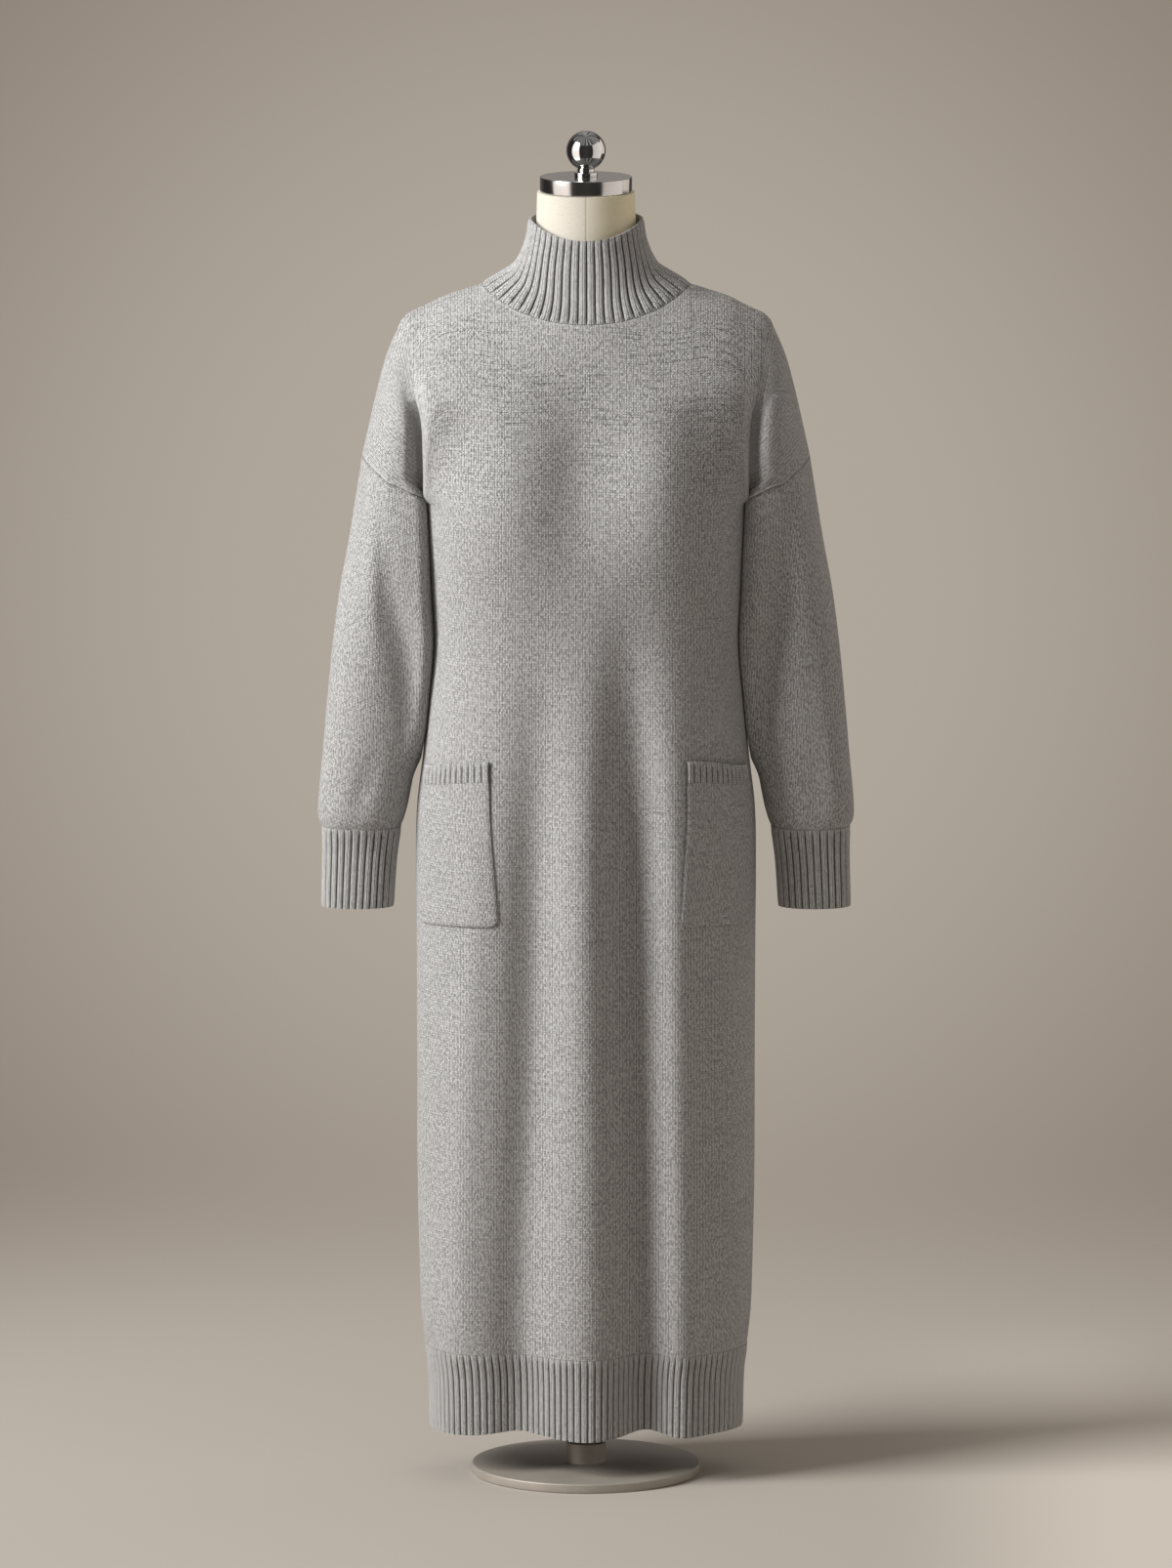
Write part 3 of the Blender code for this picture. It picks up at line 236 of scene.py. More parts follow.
# ---------------------------------------------------------------- dress form and stand
FORM_CHEST = 1.060
FORM = table("height half_width front back", (
    (0.600, 0.1480, 0.080, 0.096), (0.660, 0.1580, 0.084, 0.106),
    (0.740, 0.1540, 0.086, 0.108), (0.820, 0.1380, 0.088, 0.096),
    (0.890, 0.1220, 0.086, 0.080), (0.950, 0.1300, 0.098, 0.084),
    (1.020, 0.1460, 0.120, 0.094), (1.060, 0.1500, 0.118, 0.096),
))
FORM_SHOULDER = ((0.0, 0.1500, 0.118, 0.096), (0.4, 0.1480, 0.112, 0.092),
                 (0.7, 0.1360, 0.094, 0.080), (0.88, 0.1080, 0.072, 0.068),
                 (1.0, 0.0600, 0.056, 0.056))
FORM_TOP = 1.2560
NECK_RINGS = ((1.2920, 0.0530), (1.3200, 0.0518), (1.3553, 0.0508))
CAP_LOW = 1.3556
CAP_TOP = 1.3712
CAP_RADIUS = 0.0480
BALL_RADIUS = 0.0206
BALL_HEIGHT = 1.3985
POLE_RADIUS = 0.0125
POLE_LOW, POLE_HIGH = 0.0323, 0.5997
BASE_RADIUS = 0.1200
BASE_THICKNESS = 0.0100
SOCKET_RADIUS = 0.0210
SOCKET_TOP = 0.0320

BACKDROP_PITCH = 8.5746
BACKDROP = ((0.0, 1.0), (0.018, 1.0), (0.026, 0.97), (0.038, 0.82), (0.052, 0.62), (0.070, 0.50),
            (0.11, 0.60))
BACKDROP_WARMTH = (0.92, 1.0, 1.06)
# Turn in degrees from the camera to the right, and how bright the room is there.
MIRRORED = ((-179, 0.30), (-160, 0.14), (-128, 0.03), (-92, 0.03), (-88, 1.35), (-44, 1.50),
            (-38, 0.03), (0, 0.05), (40, 0.03), (45, 0.75), (104, 1.00), (108, 0.03),
            (114, 0.22), (118, 0.04), (150, 0.05), (179, 0.30))
# Each light's colour, size and place, the height it aims at and its spread in degrees.
LIGHTS = (("key", (1.0, 0.995, 0.985), (2.8, 3.4), (-4.89, -2.23, 4.05), 0.75, 180),
          ("upper", (1.0, 0.995, 0.985), (1.2, 1.0), (-2.60, -1.10, 2.00), 1.12, 44),
          ("side", (1.0, 0.90, 0.80), (2.6, 3.4), (3.90, 2.40, 1.90), 0.75, 180))
FLOOR_RADIUS = 2.9
CAMERA_PLACE = (0.0, -16.0, 3.354)
CAMERA_PITCH = 9.3064
CAMERA_LENS = 356.25


# ================================================================ reading the sizes
def along(rows, column, at):
    """One column of a table, read between its rows on a smooth curve."""
    places = next(iter(rows.values()))
    values = rows[column]
    last = len(places) - 1
    index = np.arange(last + 1)
    low, high = np.maximum(index - 1, 0), np.minimum(index + 1, last)
    slopes = (values[high] - values[low]) / (places[high] - places[low])
    at = np.clip(at, places[0], places[-1])
    k = np.clip(np.searchsorted(places, at, side="right") - 1, 0, last - 1)
    span = places[k + 1] - places[k]
    t = (at - places[k]) / span
    start = (1 + 2 * t) * (1 - t) ** 2 * values[k] + t * (1 - t) ** 2 * span * slopes[k]
    end = t * t * (3 - 2 * t) * values[k + 1] + t * t * (t - 1) * span * slopes[k + 1]
    return start + end


def mix(low, high, share):
    """The value at a share of the way from low to high."""
    return low + (high - low) * share


def ease(share):
    """A share that starts and ends gently, held between 0 and 1."""
    share = np.clip(share, 0.0, 1.0)
    return share * share * (3 - 2 * share)


def bell(distance, width):
    """A soft hump, 1 at no distance and nearly 0 at two widths."""
    return np.exp(-((distance / width) ** 2))


def rows_of(table_rows):
    """The rows of a table of folds or creases, each as a plain dictionary."""
    return [dict(zip(table_rows, values)) for values in zip(*table_rows.values())]


def point(x, y, z):
    """Coordinates of any shapes that fit each other, as points."""
    return np.stack(np.broadcast_arrays(x, y, z), axis=-1).astype(float)


# ================================================================ body surface
def fold_rise(panel, x, height):
    """How far the folds and swells move the cloth out at a place."""
    rise = np.zeros(np.broadcast(x, height).shape)
    for fold in rows_of(FOLDS):
        if fold["panel"] == panel:
            strength = ease((fold["top"] - height) / (fold["top"] - fold["full"]))
            drop = (height - HEM_EDGE) / (fold["top"] - HEM_EDGE)
            line = mix(fold["low_x"], fold["top_x"], drop)
            rise += fold["rise"] * strength * bell(x - line, fold["width"])
    for swell in rows_of(SWELLS):
        if swell["panel"] == panel:
            near = bell(x - swell["x"], swell["half_width"])
            rise += swell["rise"] * near * bell(height - swell["height"], swell["half_height"])
    return rise


def section(across, flat):
    """How far forward a flattened ellipse reaches, at a share of its half width."""
    return np.maximum(1 - np.abs(across) ** flat, 0.0) ** (1 / flat)


def trunk_point(panel, angle, height):
    """Points of the body below the armpits, at angles in degrees from the middle."""
    across = np.sin(np.radians(angle))
    forward = section(across, along(TRUNK, "flat", height))
    x = along(TRUNK, "half_width", height) * across
    depth = along(TRUNK, DEPTH_OF[panel], height) * forward
    depth = depth + fold_rise(panel, x, height) * np.sqrt(forward)
    return point(x, panel * np.maximum(depth, SEAM_GAP / 2), height)


def neck_point(panel, share):
    """Points of the neckline, from -1 at one shoulder over the middle to 1."""
    turn = np.radians(90 * share)
    rise = np.abs(np.sin(turn)) ** NECK_SAG
    height = mix(NECK_MIDDLE[panel], NECK_SIDE_HEIGHT, rise)
    return point(NECK_SIDE_X * np.sin(turn), panel * NECK_DEPTH[panel] * np.cos(turn), height)


def neck_out(panel, share):
    """The way the neck seam's wall faces: out and up, steeper at the shoulders."""
    turn = np.radians(90 * share)
    lean = np.radians(mix(NECK_LEAN[panel], NECK_SIDE_LEAN, np.sin(turn) ** 2))
    return point(np.sin(turn) * np.cos(lean), panel * np.cos(turn) * np.cos(lean), np.sin(lean))


def yoke_edge(panel, share):
    """The upper edge of a body panel, from one arm fold over the neck to the other."""
    neck = neck_point(panel, np.clip(share / NECK_SHARE, -1, 1))
    out = np.clip((np.abs(share) - NECK_SHARE) / (1 - NECK_SHARE), 0, 1)
    x = mix(NECK_SIDE_X, SHOULDER_END, out)
    shoulder = point(np.copysign(x, share), 0.0, along(SHOULDER_LINE, "height", x))
    return np.where((np.abs(share) <= NECK_SHARE)[..., None], neck, shoulder)


def crease_fullness(up, across=1.0):
    """Depth of the arm fold; just above the armpit only the cloth at the fold has it."""
    lift = CREASE_LIFT * (1 - np.exp(-up / 0.006)) * np.exp(-up / 0.07)
    share = across ** mix(14.0, 0.0, ease(up / 0.55))
    return along(CREASE, "fullness", up) * share + lift * across ** 24


def rounding(up, power=ARM_ROUND):
    """How much of its fullness the yoke keeps on its way up to the shoulder."""
    return np.maximum(1 - up ** power, 0.0) ** (1 / power)


def ridge(x):
    """Height of the shoulder line, carried on in a low arch over the neck."""
    over = np.maximum(1 - (x / NECK_SIDE_X) ** 2, 0.0)
    return along(SHOULDER_LINE, "height", x) + RIDGE * over


def yoke_depth(panel, x, height, up):
    """How far forward the yoke lies at a place, without the pull of the neck seam."""
    across = np.minimum(np.abs(x) / along(CREASE, "x", up), 1.0)
    climb = (height - ARMPIT) / (ridge(np.abs(x)) - ARMPIT)
    climb = np.clip(mix(climb, up, across ** CREASE_HOLD), 0.0, 1.0)
    forward = section(across, YOKE_FLAT)
    depth = mix(crease_fullness(up, across), along(TRUNK, DEPTH_OF[panel], ARMPIT), forward)
    kept = rounding(climb, mix(CHEST_ROUND, ARM_ROUND, across ** 3))
    return (depth + fold_rise(panel, x, height) * np.sqrt(forward)) * kept


def yoke_point(panel, share, up):
    """Points of the yoke between the arm folds; up runs from armpit level to the top."""
    top = yoke_edge(panel, share)
    low_x, high_x = along(CREASE, "x", 0.0), along(CREASE, "x", 1.0)
    x = mix(low_x * np.sin(np.radians(90 * share)), top[..., 0], up)
    bow = along(CREASE, "x", up) - mix(low_x, high_x, up)
    x = x + np.sign(share) * bow * np.abs(share) ** CREASE_HOLD
    height = mix(ARMPIT, top[..., 2], up)
    depth = yoke_depth(panel, x, height, up)
    missing = np.abs(top[..., 1]) - yoke_depth(panel, top[..., 0], top[..., 2], 1.0)
    depth = depth + missing * up ** NECK_HOLD
    return point(x, panel * np.maximum(depth, SEAM_GAP / 2), height)


def arm_bulge(panel, reach, start, skew):
    """How full the arm is from the body (0) to its outer line (1), where start is its
    fullness at the body. A skewed arm is fullest near the body and slopes back outward."""
    low = ARM_TURN * start ** 6 - np.sqrt(np.maximum(1 - start ** 2, 0.0))
    even = np.sqrt(np.maximum(1 - (low + reach * (1 - low)) ** 2, 0.0))
    even = even * mix(1.0, 1 / np.sqrt(np.maximum(1 - low ** 2, 0.01)), start ** 6)
    inner = np.maximum(start, ARM_INNER)
    quick = np.sqrt(1 - (1 - np.minimum(reach / 0.08, 1.0)) ** 2)
    rise = np.sin(math.pi / 2 * np.minimum(reach / ARM_RISE, 1.0))
    past = np.maximum(reach - 0.6 * ARM_RISE, 0.0) / (1 - 0.6 * ARM_RISE)
    sloped = start + (inner - start) * quick + (ARM_SWELL - inner) * rise
    return mix(even, sloped * (1 - past ** 2.4) ** 0.6, skew * ARM_SKEW[panel])


def arm_point(panel, side, share, up):
    """Points of the panel over the upper arm, from its fold (0) to its outer line (1)."""
    inner_x = along(CREASE, "x", up) + WEB
    inner_z = mix(ARMPIT, along(SHOULDER_LINE, "height", SHOULDER_END + WEB), up)
    outer_x, outer_z = along(ARM, "out_x", up), along(ARM, "out_height", up)
    start = np.minimum(crease_fullness(up) / along(ARM, "fullness", up), 1.0)
    reach = (1 - np.cos(math.pi * share)) / 2
    bulge = arm_bulge(panel, reach, start, 1 - ease((up - 0.3) / 0.5))
    y = panel * np.maximum(along(ARM, "fullness", up) * rounding(up) * bulge, SEAM_GAP / 2)
    fold, low = along(CREASE, "fullness", up), along(TRUNK, DEPTH_OF[panel], ARMPIT)
    with np.errstate(divide="ignore"):
        forward = np.clip((np.abs(y) - fold) / (low - fold), 0, 1)
    body = along(CREASE, "x", up) * section(forward, YOKE_FLAT)
    near = np.maximum(np.cos(math.pi * share), 0.0) ** 0.6 * (1 - ease(up / HUG_UP))
    x = rest_beside(mix(inner_x, outer_x, reach) - HUG * near, body)
    return point(side * x, y, mix(inner_z, outer_z, reach))


def rest_beside(x, body):
    """Keep an arm's cloth just outside the body's side, with a soft start."""
    over = x - body - HUG_GAP
    return body + HUG_GAP + (over + np.sqrt(over ** 2 + HUG_SOFT ** 2)) / 2


def tube_point(rows, side, down, angle, skew=0.0):
    """Points of a sleeve or cuff: -90 faces the body, 0 the front, 90 out."""
    turn = np.radians(angle)
    reach = (1 + np.sin(turn)) / 2
    x = mix(along(rows, "in_x", down), along(rows, "out_x", down), reach)
    z = mix(along(rows, "in_height", down), along(rows, "out_height", down), reach)
    ahead = along(rows, "front", down) * arm_bulge(FRONT, reach, 0.0, skew)
    behind = along(rows, "back", down) * arm_bulge(BACK, reach, 0.0, skew)
    return point(side * x, np.where(np.cos(turn) > 0, -ahead, behind), z)


def collar_point(angle, up):
    """Points of the collar's cloth; angle 0 is the middle of the front."""
    turn = np.radians(angle)
    front = (np.cos(turn) >= 0)[..., None]
    base = np.where(front, neck_point(FRONT, np.clip(angle / 90, -1, 1)),
                    neck_point(BACK, np.clip((180 - angle) / 90, -1, 1)))
    front = front[..., 0]
    depth = np.where(front, along(COLLAR, "front", up), along(COLLAR, "back", up))
    middle = np.where(front, COLLAR_TOP[FRONT], COLLAR_TOP[BACK])
    top = mix(middle, COLLAR_TOP_SIDE, np.abs(np.sin(turn)) ** NECK_SAG)
    low, high = COLLAR["half_width"][0], COLLAR["half_width"][-1]
    gentle = high + (low - high) * (1 - up) ** COLLAR_EASE
    width = mix(along(COLLAR, "half_width", up), gentle, np.cos(turn) ** 2)
    return point(width * np.sin(turn), -depth * np.cos(turn), mix(base[..., 2], top, up))


# ================================================================ meshes
def clear_selection():
    """Leave nothing selected, and nothing active."""
    for other in bpy.context.view_layer.objects:
        other.select_set(False)
    bpy.context.view_layer.objects.active = None


def show(piece, node):
    """Show a finished piece in its solid's place, with its finish."""
    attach(piece, "root")
    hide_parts(node)


def finished_object(name, mesh, material, sharp=70.0):
    """A named object for a finished mesh, smooth except at its edges."""
    mesh.shade_smooth()
    mesh.set_sharp_from_angle(angle=math.radians(sharp))
    mesh.materials.clear()
    mesh.materials.append(material)
    piece = bpy.data.objects.new(name, mesh)
    bpy.context.scene.collection.objects.link(piece)
    return piece


def quad_normals(points, quads):
    """The mean direction that the quads round each point look in."""
    corners = points[quads]
    faces = np.cross(corners[:, 2] - corners[:, 0], corners[:, 3] - corners[:, 1])
    normals = np.zeros_like(points)
    for k in range(4):
        np.add.at(normals, quads[:, k], faces)
    return normals / np.maximum(np.linalg.norm(normals, axis=1), 1e-12)[:, None]


def wall(name, points, quads, places, uv, thickness, material, seams=None, half=0, inner=None,
         shade=None):
    """A closed wall of cloth over outer quads, with its knit's own coordinates.

    places numbers each quad's corners in uv, seams sets the wall's direction at
    some points, half keeps the inner side of a front or back in its own half, inner
    gives points for the inner side where it is plainer than the outer, and shade is the
    painted shade at each point, which is painted highlight where it is below 0.
    """
    normals = quad_normals(points, quads)
    if seams is not None:
        known = ~np.isnan(seams[:, 0])
        normals[known] = seams[known]
    if inner is None:
        inner = points - normals * thickness
    if half:
        inner[:, 1] = half * np.maximum(half * inner[:, 1], SEAM_GAP / 2)
    count = len(points)
    a = quads.ravel()
    b = np.roll(quads, -1, axis=1).ravel()
    ua = places.ravel()
    ub = np.roll(places, -1, axis=1).ravel()
    free = ~np.isin(a * count + b, b * count + a)
    rim = np.stack((b[free], a[free], a[free] + count, b[free] + count), axis=1)
    rim_uv = np.stack((ub[free], ua[free], ua[free], ub[free]), axis=1)
    faces = np.concatenate((quads, quads[:, ::-1] + count, rim))
    face_uv = np.concatenate((places, places[:, ::-1], rim_uv))
    mesh = bpy.data.meshes.new(name)
    mesh.from_pydata(np.concatenate((points, inner)), [], faces.tolist())
    layer = mesh.uv_layers.new(name="Knit")
    layer.data.foreach_set("uv", uv[face_uv.ravel()].ravel().astype(np.float32))
    if shade is not None:
        dark = mesh.attributes.new("Shade", "FLOAT", "POINT")
        dark.data.foreach_set("value", np.tile(shade.ravel(), 2).astype(np.float32))
    mesh.update()
    return finished_object(name, mesh, material)


def grid_quads(numbers, flip=False):
    """Quads of a grid of point numbers."""
    quads = np.stack((numbers[:-1, :-1], numbers[:-1, 1:], numbers[1:, 1:], numbers[1:, :-1]),
                     axis=-1).reshape(-1, 4)
    return quads[:, ::-1] if flip else quads


def run_length(points, axis):
    """Length along one way of a grid of points, starting at 0."""
    steps = np.linalg.norm(np.diff(points, axis=axis), axis=-1)
    pad = [(0, 0), (0, 0)]
    pad[axis] = (1, 0)
    return np.cumsum(np.pad(steps, pad), axis=axis)


def even_angles(ring_point, count, start, end, steps=2400):
    """Angles that cut a ring into pieces of equal length."""
    marks = np.linspace(start, end, steps + 1)
    points = ring_point(marks)
    lengths = np.concatenate(([0.0], np.cumsum(np.linalg.norm(np.diff(points, axis=0), axis=1))))
    return np.interp(np.linspace(0, lengths[-1], count + 1), lengths, marks)


# ================================================================ finishes
STITCH_TONE = 0.90
MOTTLE_TONE = 0.08


class Finish:
    """The nodes of one material, added and joined one by one."""

    def __init__(self, name):
        self.material = bpy.data.materials.new(name)
        self.material.use_nodes = True
        self.tree = self.material.node_tree
        self.shader = self.tree.nodes["Principled BSDF"]

    def add(self, kind, *values, **settings):
        """A node with its settings, and its inputs in order as numbers or as links."""
        node = self.tree.nodes.new("ShaderNode" + kind)
        for key, value in settings.items():
            setattr(node, key, value)
        for socket, value in zip(node.inputs, values):
            if isinstance(value, bpy.types.NodeSocket):
                self.tree.links.new(value, socket)
            elif value is not None:
                socket.default_value = value
        return node

    def math(self, operation, *values):
        """The result of a sum."""
        return self.add("Math", *values, operation=operation).outputs[0]

    def noise(self, place, scale, detail=2.0, roughness=0.5):
        """A noise value between 0 and 1 at a place."""
        node = self.add("TexNoise")
        self.tree.links.new(place, node.inputs["Vector"])
        node.inputs["Scale"].default_value = scale
        node.inputs["Detail"].default_value = detail
        node.inputs["Roughness"].default_value = roughness
        return node.outputs["Factor"] if "Factor" in node.outputs else node.outputs[0]

    def yarn(self, leg, row):
        """The yarn's tone in one leg of one stitch, between 0 and 1."""
        node = self.add("TexWhiteNoise", noise_dimensions="2D")
        place = self.add("CombineXYZ", leg, row, 0.0).outputs[0]
        self.tree.links.new(place, node.inputs["Vector"])
        return node.outputs["Value"]

    def ramp(self, value, low, high, to_low, to_high, kind="SMOOTHSTEP"):
        """A value carried from one range to another, and held inside it."""
        node = self.add("MapRange", value, low, high, to_low, to_high)
        node.interpolation_type = kind
        return node.outputs[0]

    def tint(self, share, dark, light):
        """A colour between two, by a share."""
        node = self.add("Mix", data_type="RGBA")
        self.tree.links.new(share, node.inputs["Factor"])
        node.inputs["A"].default_value = (*dark, 1.0)
        node.inputs["B"].default_value = (*light, 1.0)
        return node.outputs["Result"]

    def join(self, socket, name):
        """Feed one of the shader's inputs."""
        self.tree.links.new(socket, self.shader.inputs[name])

    def bump(self, height, strength, distance):
        """Relief from a height between 0 and 1."""
        node = self.add("Bump")
        node.inputs["Strength"].default_value = strength
        node.inputs["Distance"].default_value = distance
        self.tree.links.new(height, node.inputs["Height"])
        self.join(node.outputs["Normal"], "Normal")

    def set(self, **values):
        """Numbers that are the same all over the surface."""
        for name, value in values.items():
            self.shader.inputs[name.replace("_", " ")].default_value = value


def knit_finish(name, colour, wale, course, slub, groove, melange):
    """Melange wool in plain knit: columns of V-shaped stitches with a slight nap.

    slub darkens short thick places along the rows, groove is painted shade on the sides of
    every second column, where a ribbed piece folds in, and melange is how much the yarn's
    tone changes from stitch to stitch.
    """
    made = Finish(name)
    place = made.add("UVMap", uv_map="Knit").outputs["UV"]
    split = made.add("SeparateXYZ", place)
    u, v = split.outputs[0], split.outputs[1]
    wander = made.math("SUBTRACT", made.noise(place, 190.0, 1.0), 0.5)
    wander = made.math("MULTIPLY", wander, 0.0005)
    across = made.math("DIVIDE", made.math("ADD", u, wander), wale)
    column = made.math("FRACT", across)
    outward = made.math("ABSOLUTE", made.math("SUBTRACT", made.math("MULTIPLY", column, 2.0), 1.0))
    legs = made.math("ABSOLUTE", made.math("SINE", made.math("MULTIPLY", column, 2 * math.pi)))
    lean = made.math("SUBTRACT", made.math("DIVIDE", v, course),
                     made.math("MULTIPLY", outward, 0.9))
    loop = made.math("COSINE", made.math("MULTIPLY", lean, 2 * math.pi))
    loop = made.math("MULTIPLY_ADD", loop, 0.34, 0.66)
    stitch = made.math("MULTIPLY", made.math("POWER", legs, 0.6), loop)
    stitch = made.math("MULTIPLY", stitch, made.ramp(outward, 0.62, 1.0, 1.0, 0.25))
    leg = made.math("FLOOR", made.math("MULTIPLY", across, 2.0))
    row = made.math("FLOOR", made.math("DIVIDE", v, course))
    yarn = made.yarn(leg, row)
    around = [made.yarn(made.math("ADD", leg, step), row) for step in (-1.0, 1.0)]
    around += [made.yarn(leg, made.math("ADD", row, step)) for step in (-1.0, 1.0)]
    while len(around) > 1:
        around.append(made.math("ADD", around.pop(0), around.pop(0)))
    around = made.math("MULTIPLY", around[0], 0.25)
    around = made.math("MULTIPLY_ADD", around, 0.55, 0.225)
    yarn = made.math("MULTIPLY_ADD", made.math("SUBTRACT", yarn, around), 0.95, 0.5)
    fleck = made.ramp(made.noise(place, 820.0, 1.0, 0.6), 0.38, 0.62, 0.0, 1.0, "LINEAR")
    mottle = made.ramp(made.noise(place, 120.0, 3.0, 0.7), 0.34, 0.66, 0.0, 1.0, "LINEAR")
    streak = made.add("Mapping", place)
    streak.inputs["Scale"].default_value = (30.0, 400.0, 1.0)
    slubs = made.ramp(made.noise(streak.outputs[0], 1.0, 1.0, 0.6), 0.47, 0.68, 0.0, 1.0)
    patch = made.ramp(made.noise(place, 16.0, 1.0), 0.36, 0.60, 0.25, 1.0)
    patch = made.math("MULTIPLY", patch, made.ramp(v, 1.04, 1.14, 0.35, 1.0))
    shade = made.math("MULTIPLY_ADD", stitch, STITCH_TONE, 0.5 - 0.42 * STITCH_TONE)
    for value, tone in ((yarn, melange), (fleck, 0.7 * melange), (mottle, MOTTLE_TONE)):
        shade = made.math("MULTIPLY_ADD", made.math("SUBTRACT", value, 0.5), tone, shade)
    slubs = made.math("MULTIPLY", made.math("MULTIPLY", slubs, patch), slub)
    shade = made.math("SUBTRACT", shade, slubs)
    # Painted shade in the grooves between ribs, fading out close to the seam.
    if groove:
        rib = made.math("FRACT", made.math("DIVIDE", u, 2 * wale))
        side = made.math("MINIMUM", rib, made.math("SUBTRACT", 1.0, rib))
        from_seam = made.ramp(v, -0.010, -0.001, 1.0, 0.1)
        fold = made.math("MULTIPLY", made.ramp(side, 0.03, 0.18, groove, 0.0), from_seam)
        shade = made.math("SUBTRACT", shade, fold)
    # Painted shade from each piece's Shade attribute: darker below the armhole seam, along the
    # pocket edges and at the collar's foot; painted highlight where it is below 0, along the body's
    # side edges and beside the armhole and neck seams.
    seam = made.add("Attribute", attribute_name="Shade").outputs["Fac"]
    shade = made.math("SUBTRACT", shade, made.math("MULTIPLY", seam, 0.42))
    dark = tuple(part * 0.15 for part in colour)
    light = tuple(part * 1.90 for part in colour)
    made.join(made.tint(shade, dark, light), "Base Color")
    fuzz = made.math("MULTIPLY_ADD", fleck, 0.35, stitch)
    made.bump(fuzz, 0.55, 0.0010)
    made.set(Roughness=0.93, Sheen_Weight=0.18, Sheen_Roughness=0.5)
    made.shader.inputs["Specular IOR Level"].default_value = 0.15
    return made.material


def linen_finish(name, colour):
    """Close-woven linen, stretched over the form and sewn down the middle."""
    made = Finish(name)
    place = made.add("TexCoord").outputs["Object"]
    split = made.add("SeparateXYZ", place)
    x, y, z = split.outputs
    turn = made.math("MULTIPLY", made.math("ARCTAN2", x, made.math("MULTIPLY", y, -1.0)), 52.0)
    warp = made.math("SINE", made.math("MULTIPLY", turn, 95.0))
    weft = made.math("SINE", made.math("MULTIPLY", z, 5200.0))
    weave = made.math("MULTIPLY_ADD", made.math("MULTIPLY", warp, weft), 0.5, 0.5)
    slub = made.add("Mapping", place)
    slub.inputs["Scale"].default_value = (260.0, 260.0, 2600.0)
    threads = made.noise(slub.outputs[0], 1.0, 2.0, 0.6)
    seam = made.ramp(made.math("ABSOLUTE", x), 0.0005, 0.0012, 0.0, 1.0)
    seam = made.math("MAXIMUM", seam, made.ramp(y, -0.001, 0.001, 0.0, 1.0))
    tone = made.math("MULTIPLY_ADD", weave, 0.22, made.math("MULTIPLY", threads, 0.78))
    tone = made.math("MULTIPLY", tone, seam)
    # Painted light: the right half of the linen is painted brighter and warmer than the left,
    # standing in for warm light thrown onto that side of the neck.
    plain_and_painted_light_halves = []
    for painted_warm_light in (1.0, 1.0, 1.0), (1.85, 1.56, 1.24):
        dark = tuple(part * 0.68 * more for part, more in zip(colour, painted_warm_light))
        light = tuple(min(part * 1.10 * more, 1.0) for part, more in zip(colour, painted_warm_light))
        plain_and_painted_light_halves.append(made.tint(tone, dark, light))
    both = made.add("Mix", data_type="RGBA")
    made.tree.links.new(made.ramp(x, -0.010, 0.045, 0.0, 1.0), both.inputs["Factor"])
    made.tree.links.new(plain_and_painted_light_halves[0], both.inputs["A"])
    made.tree.links.new(plain_and_painted_light_halves[1], both.inputs["B"])
    made.join(both.outputs["Result"], "Base Color")
    made.bump(made.math("MULTIPLY_ADD", seam, 1.0, made.math("MULTIPLY", tone, 0.4)), 0.35, 0.0004)
    made.set(Roughness=0.85, Sheen_Weight=0.1)
    made.shader.inputs["Specular IOR Level"].default_value = 0.25
    return made.material


def metal_finish(name, colour, roughness, grain):
    """Bright metal with fine turning marks and a few faint smears."""
    made = Finish(name)
    place = made.add("TexCoord").outputs["Object"]
    rings = made.add("Mapping", place)
    rings.inputs["Scale"].default_value = (30.0, 30.0, 2600.0)
    marks = made.noise(rings.outputs[0], 1.0, 3.0, 0.7)
    smear = made.noise(place, 45.0, 3.0)
    dark = tuple(part * 0.88 for part in colour)
    made.join(made.tint(made.ramp(marks, 0.3, 0.7, 0.0, 1.0), dark, colour), "Base Color")
    rough = made.math("MULTIPLY_ADD", smear, roughness * 0.8, roughness * 0.6)
    made.join(rough, "Roughness")
    made.bump(marks, grain, 0.0002)
    made.set(Metallic=1.0)
    return made.material


def paint_finish(name, colour):
    """Powder-coated steel, finely pebbled and faintly mottled."""
    made = Finish(name)
    place = made.add("TexCoord").outputs["Object"]
    pebble = made.noise(place, 1400.0, 2.0, 0.6)
    dust = made.noise(place, 22.0, 4.0, 0.6)
    tone = made.math("MULTIPLY_ADD", pebble, 0.3, made.math("MULTIPLY", dust, 0.7))
    dark = tuple(part * 0.8 for part in colour)
    light = tuple(part * 1.25 for part in colour)
    made.join(made.tint(tone, dark, light), "Base Color")
    made.join(made.math("MULTIPLY_ADD", dust, 0.25, 0.42), "Roughness")
    made.bump(pebble, 0.2, 0.0003)
    made.set(Metallic=0.3)
    return made.material


# ================================================================ settings
class DressSettings(bpy.types.PropertyGroup):
    """Sizes and colours of the knitted dress."""

    cloth: FloatProperty(name="Cloth", description="Thickness of the plain knit",
                         default=0.0020, min=0.001, max=0.004, unit="LENGTH")
    rib_rise: FloatProperty(name="Rib rise", description="How far a rib's crest stands out",
                            default=0.0013, min=0.0, max=0.003, unit="LENGTH")
    groove: FloatProperty(name="Groove", description="How deep the grooves go between ribs",
                          default=0.0010, min=0.0, max=0.0015, unit="LENGTH")
    wale: FloatProperty(name="Wale", description="Width of one column of stitches",
                        default=0.0035, min=0.001, max=0.01, unit="LENGTH")
    course: FloatProperty(name="Course", description="Height of one row of stitches",
                          default=0.0027, min=0.001, max=0.01, unit="LENGTH")
    grey: FloatVectorProperty(name="Grey", description="Mean colour of the melange wool",
                              default=(0.345, 0.343, 0.340), min=0.0, max=1.0, subtype="COLOR")


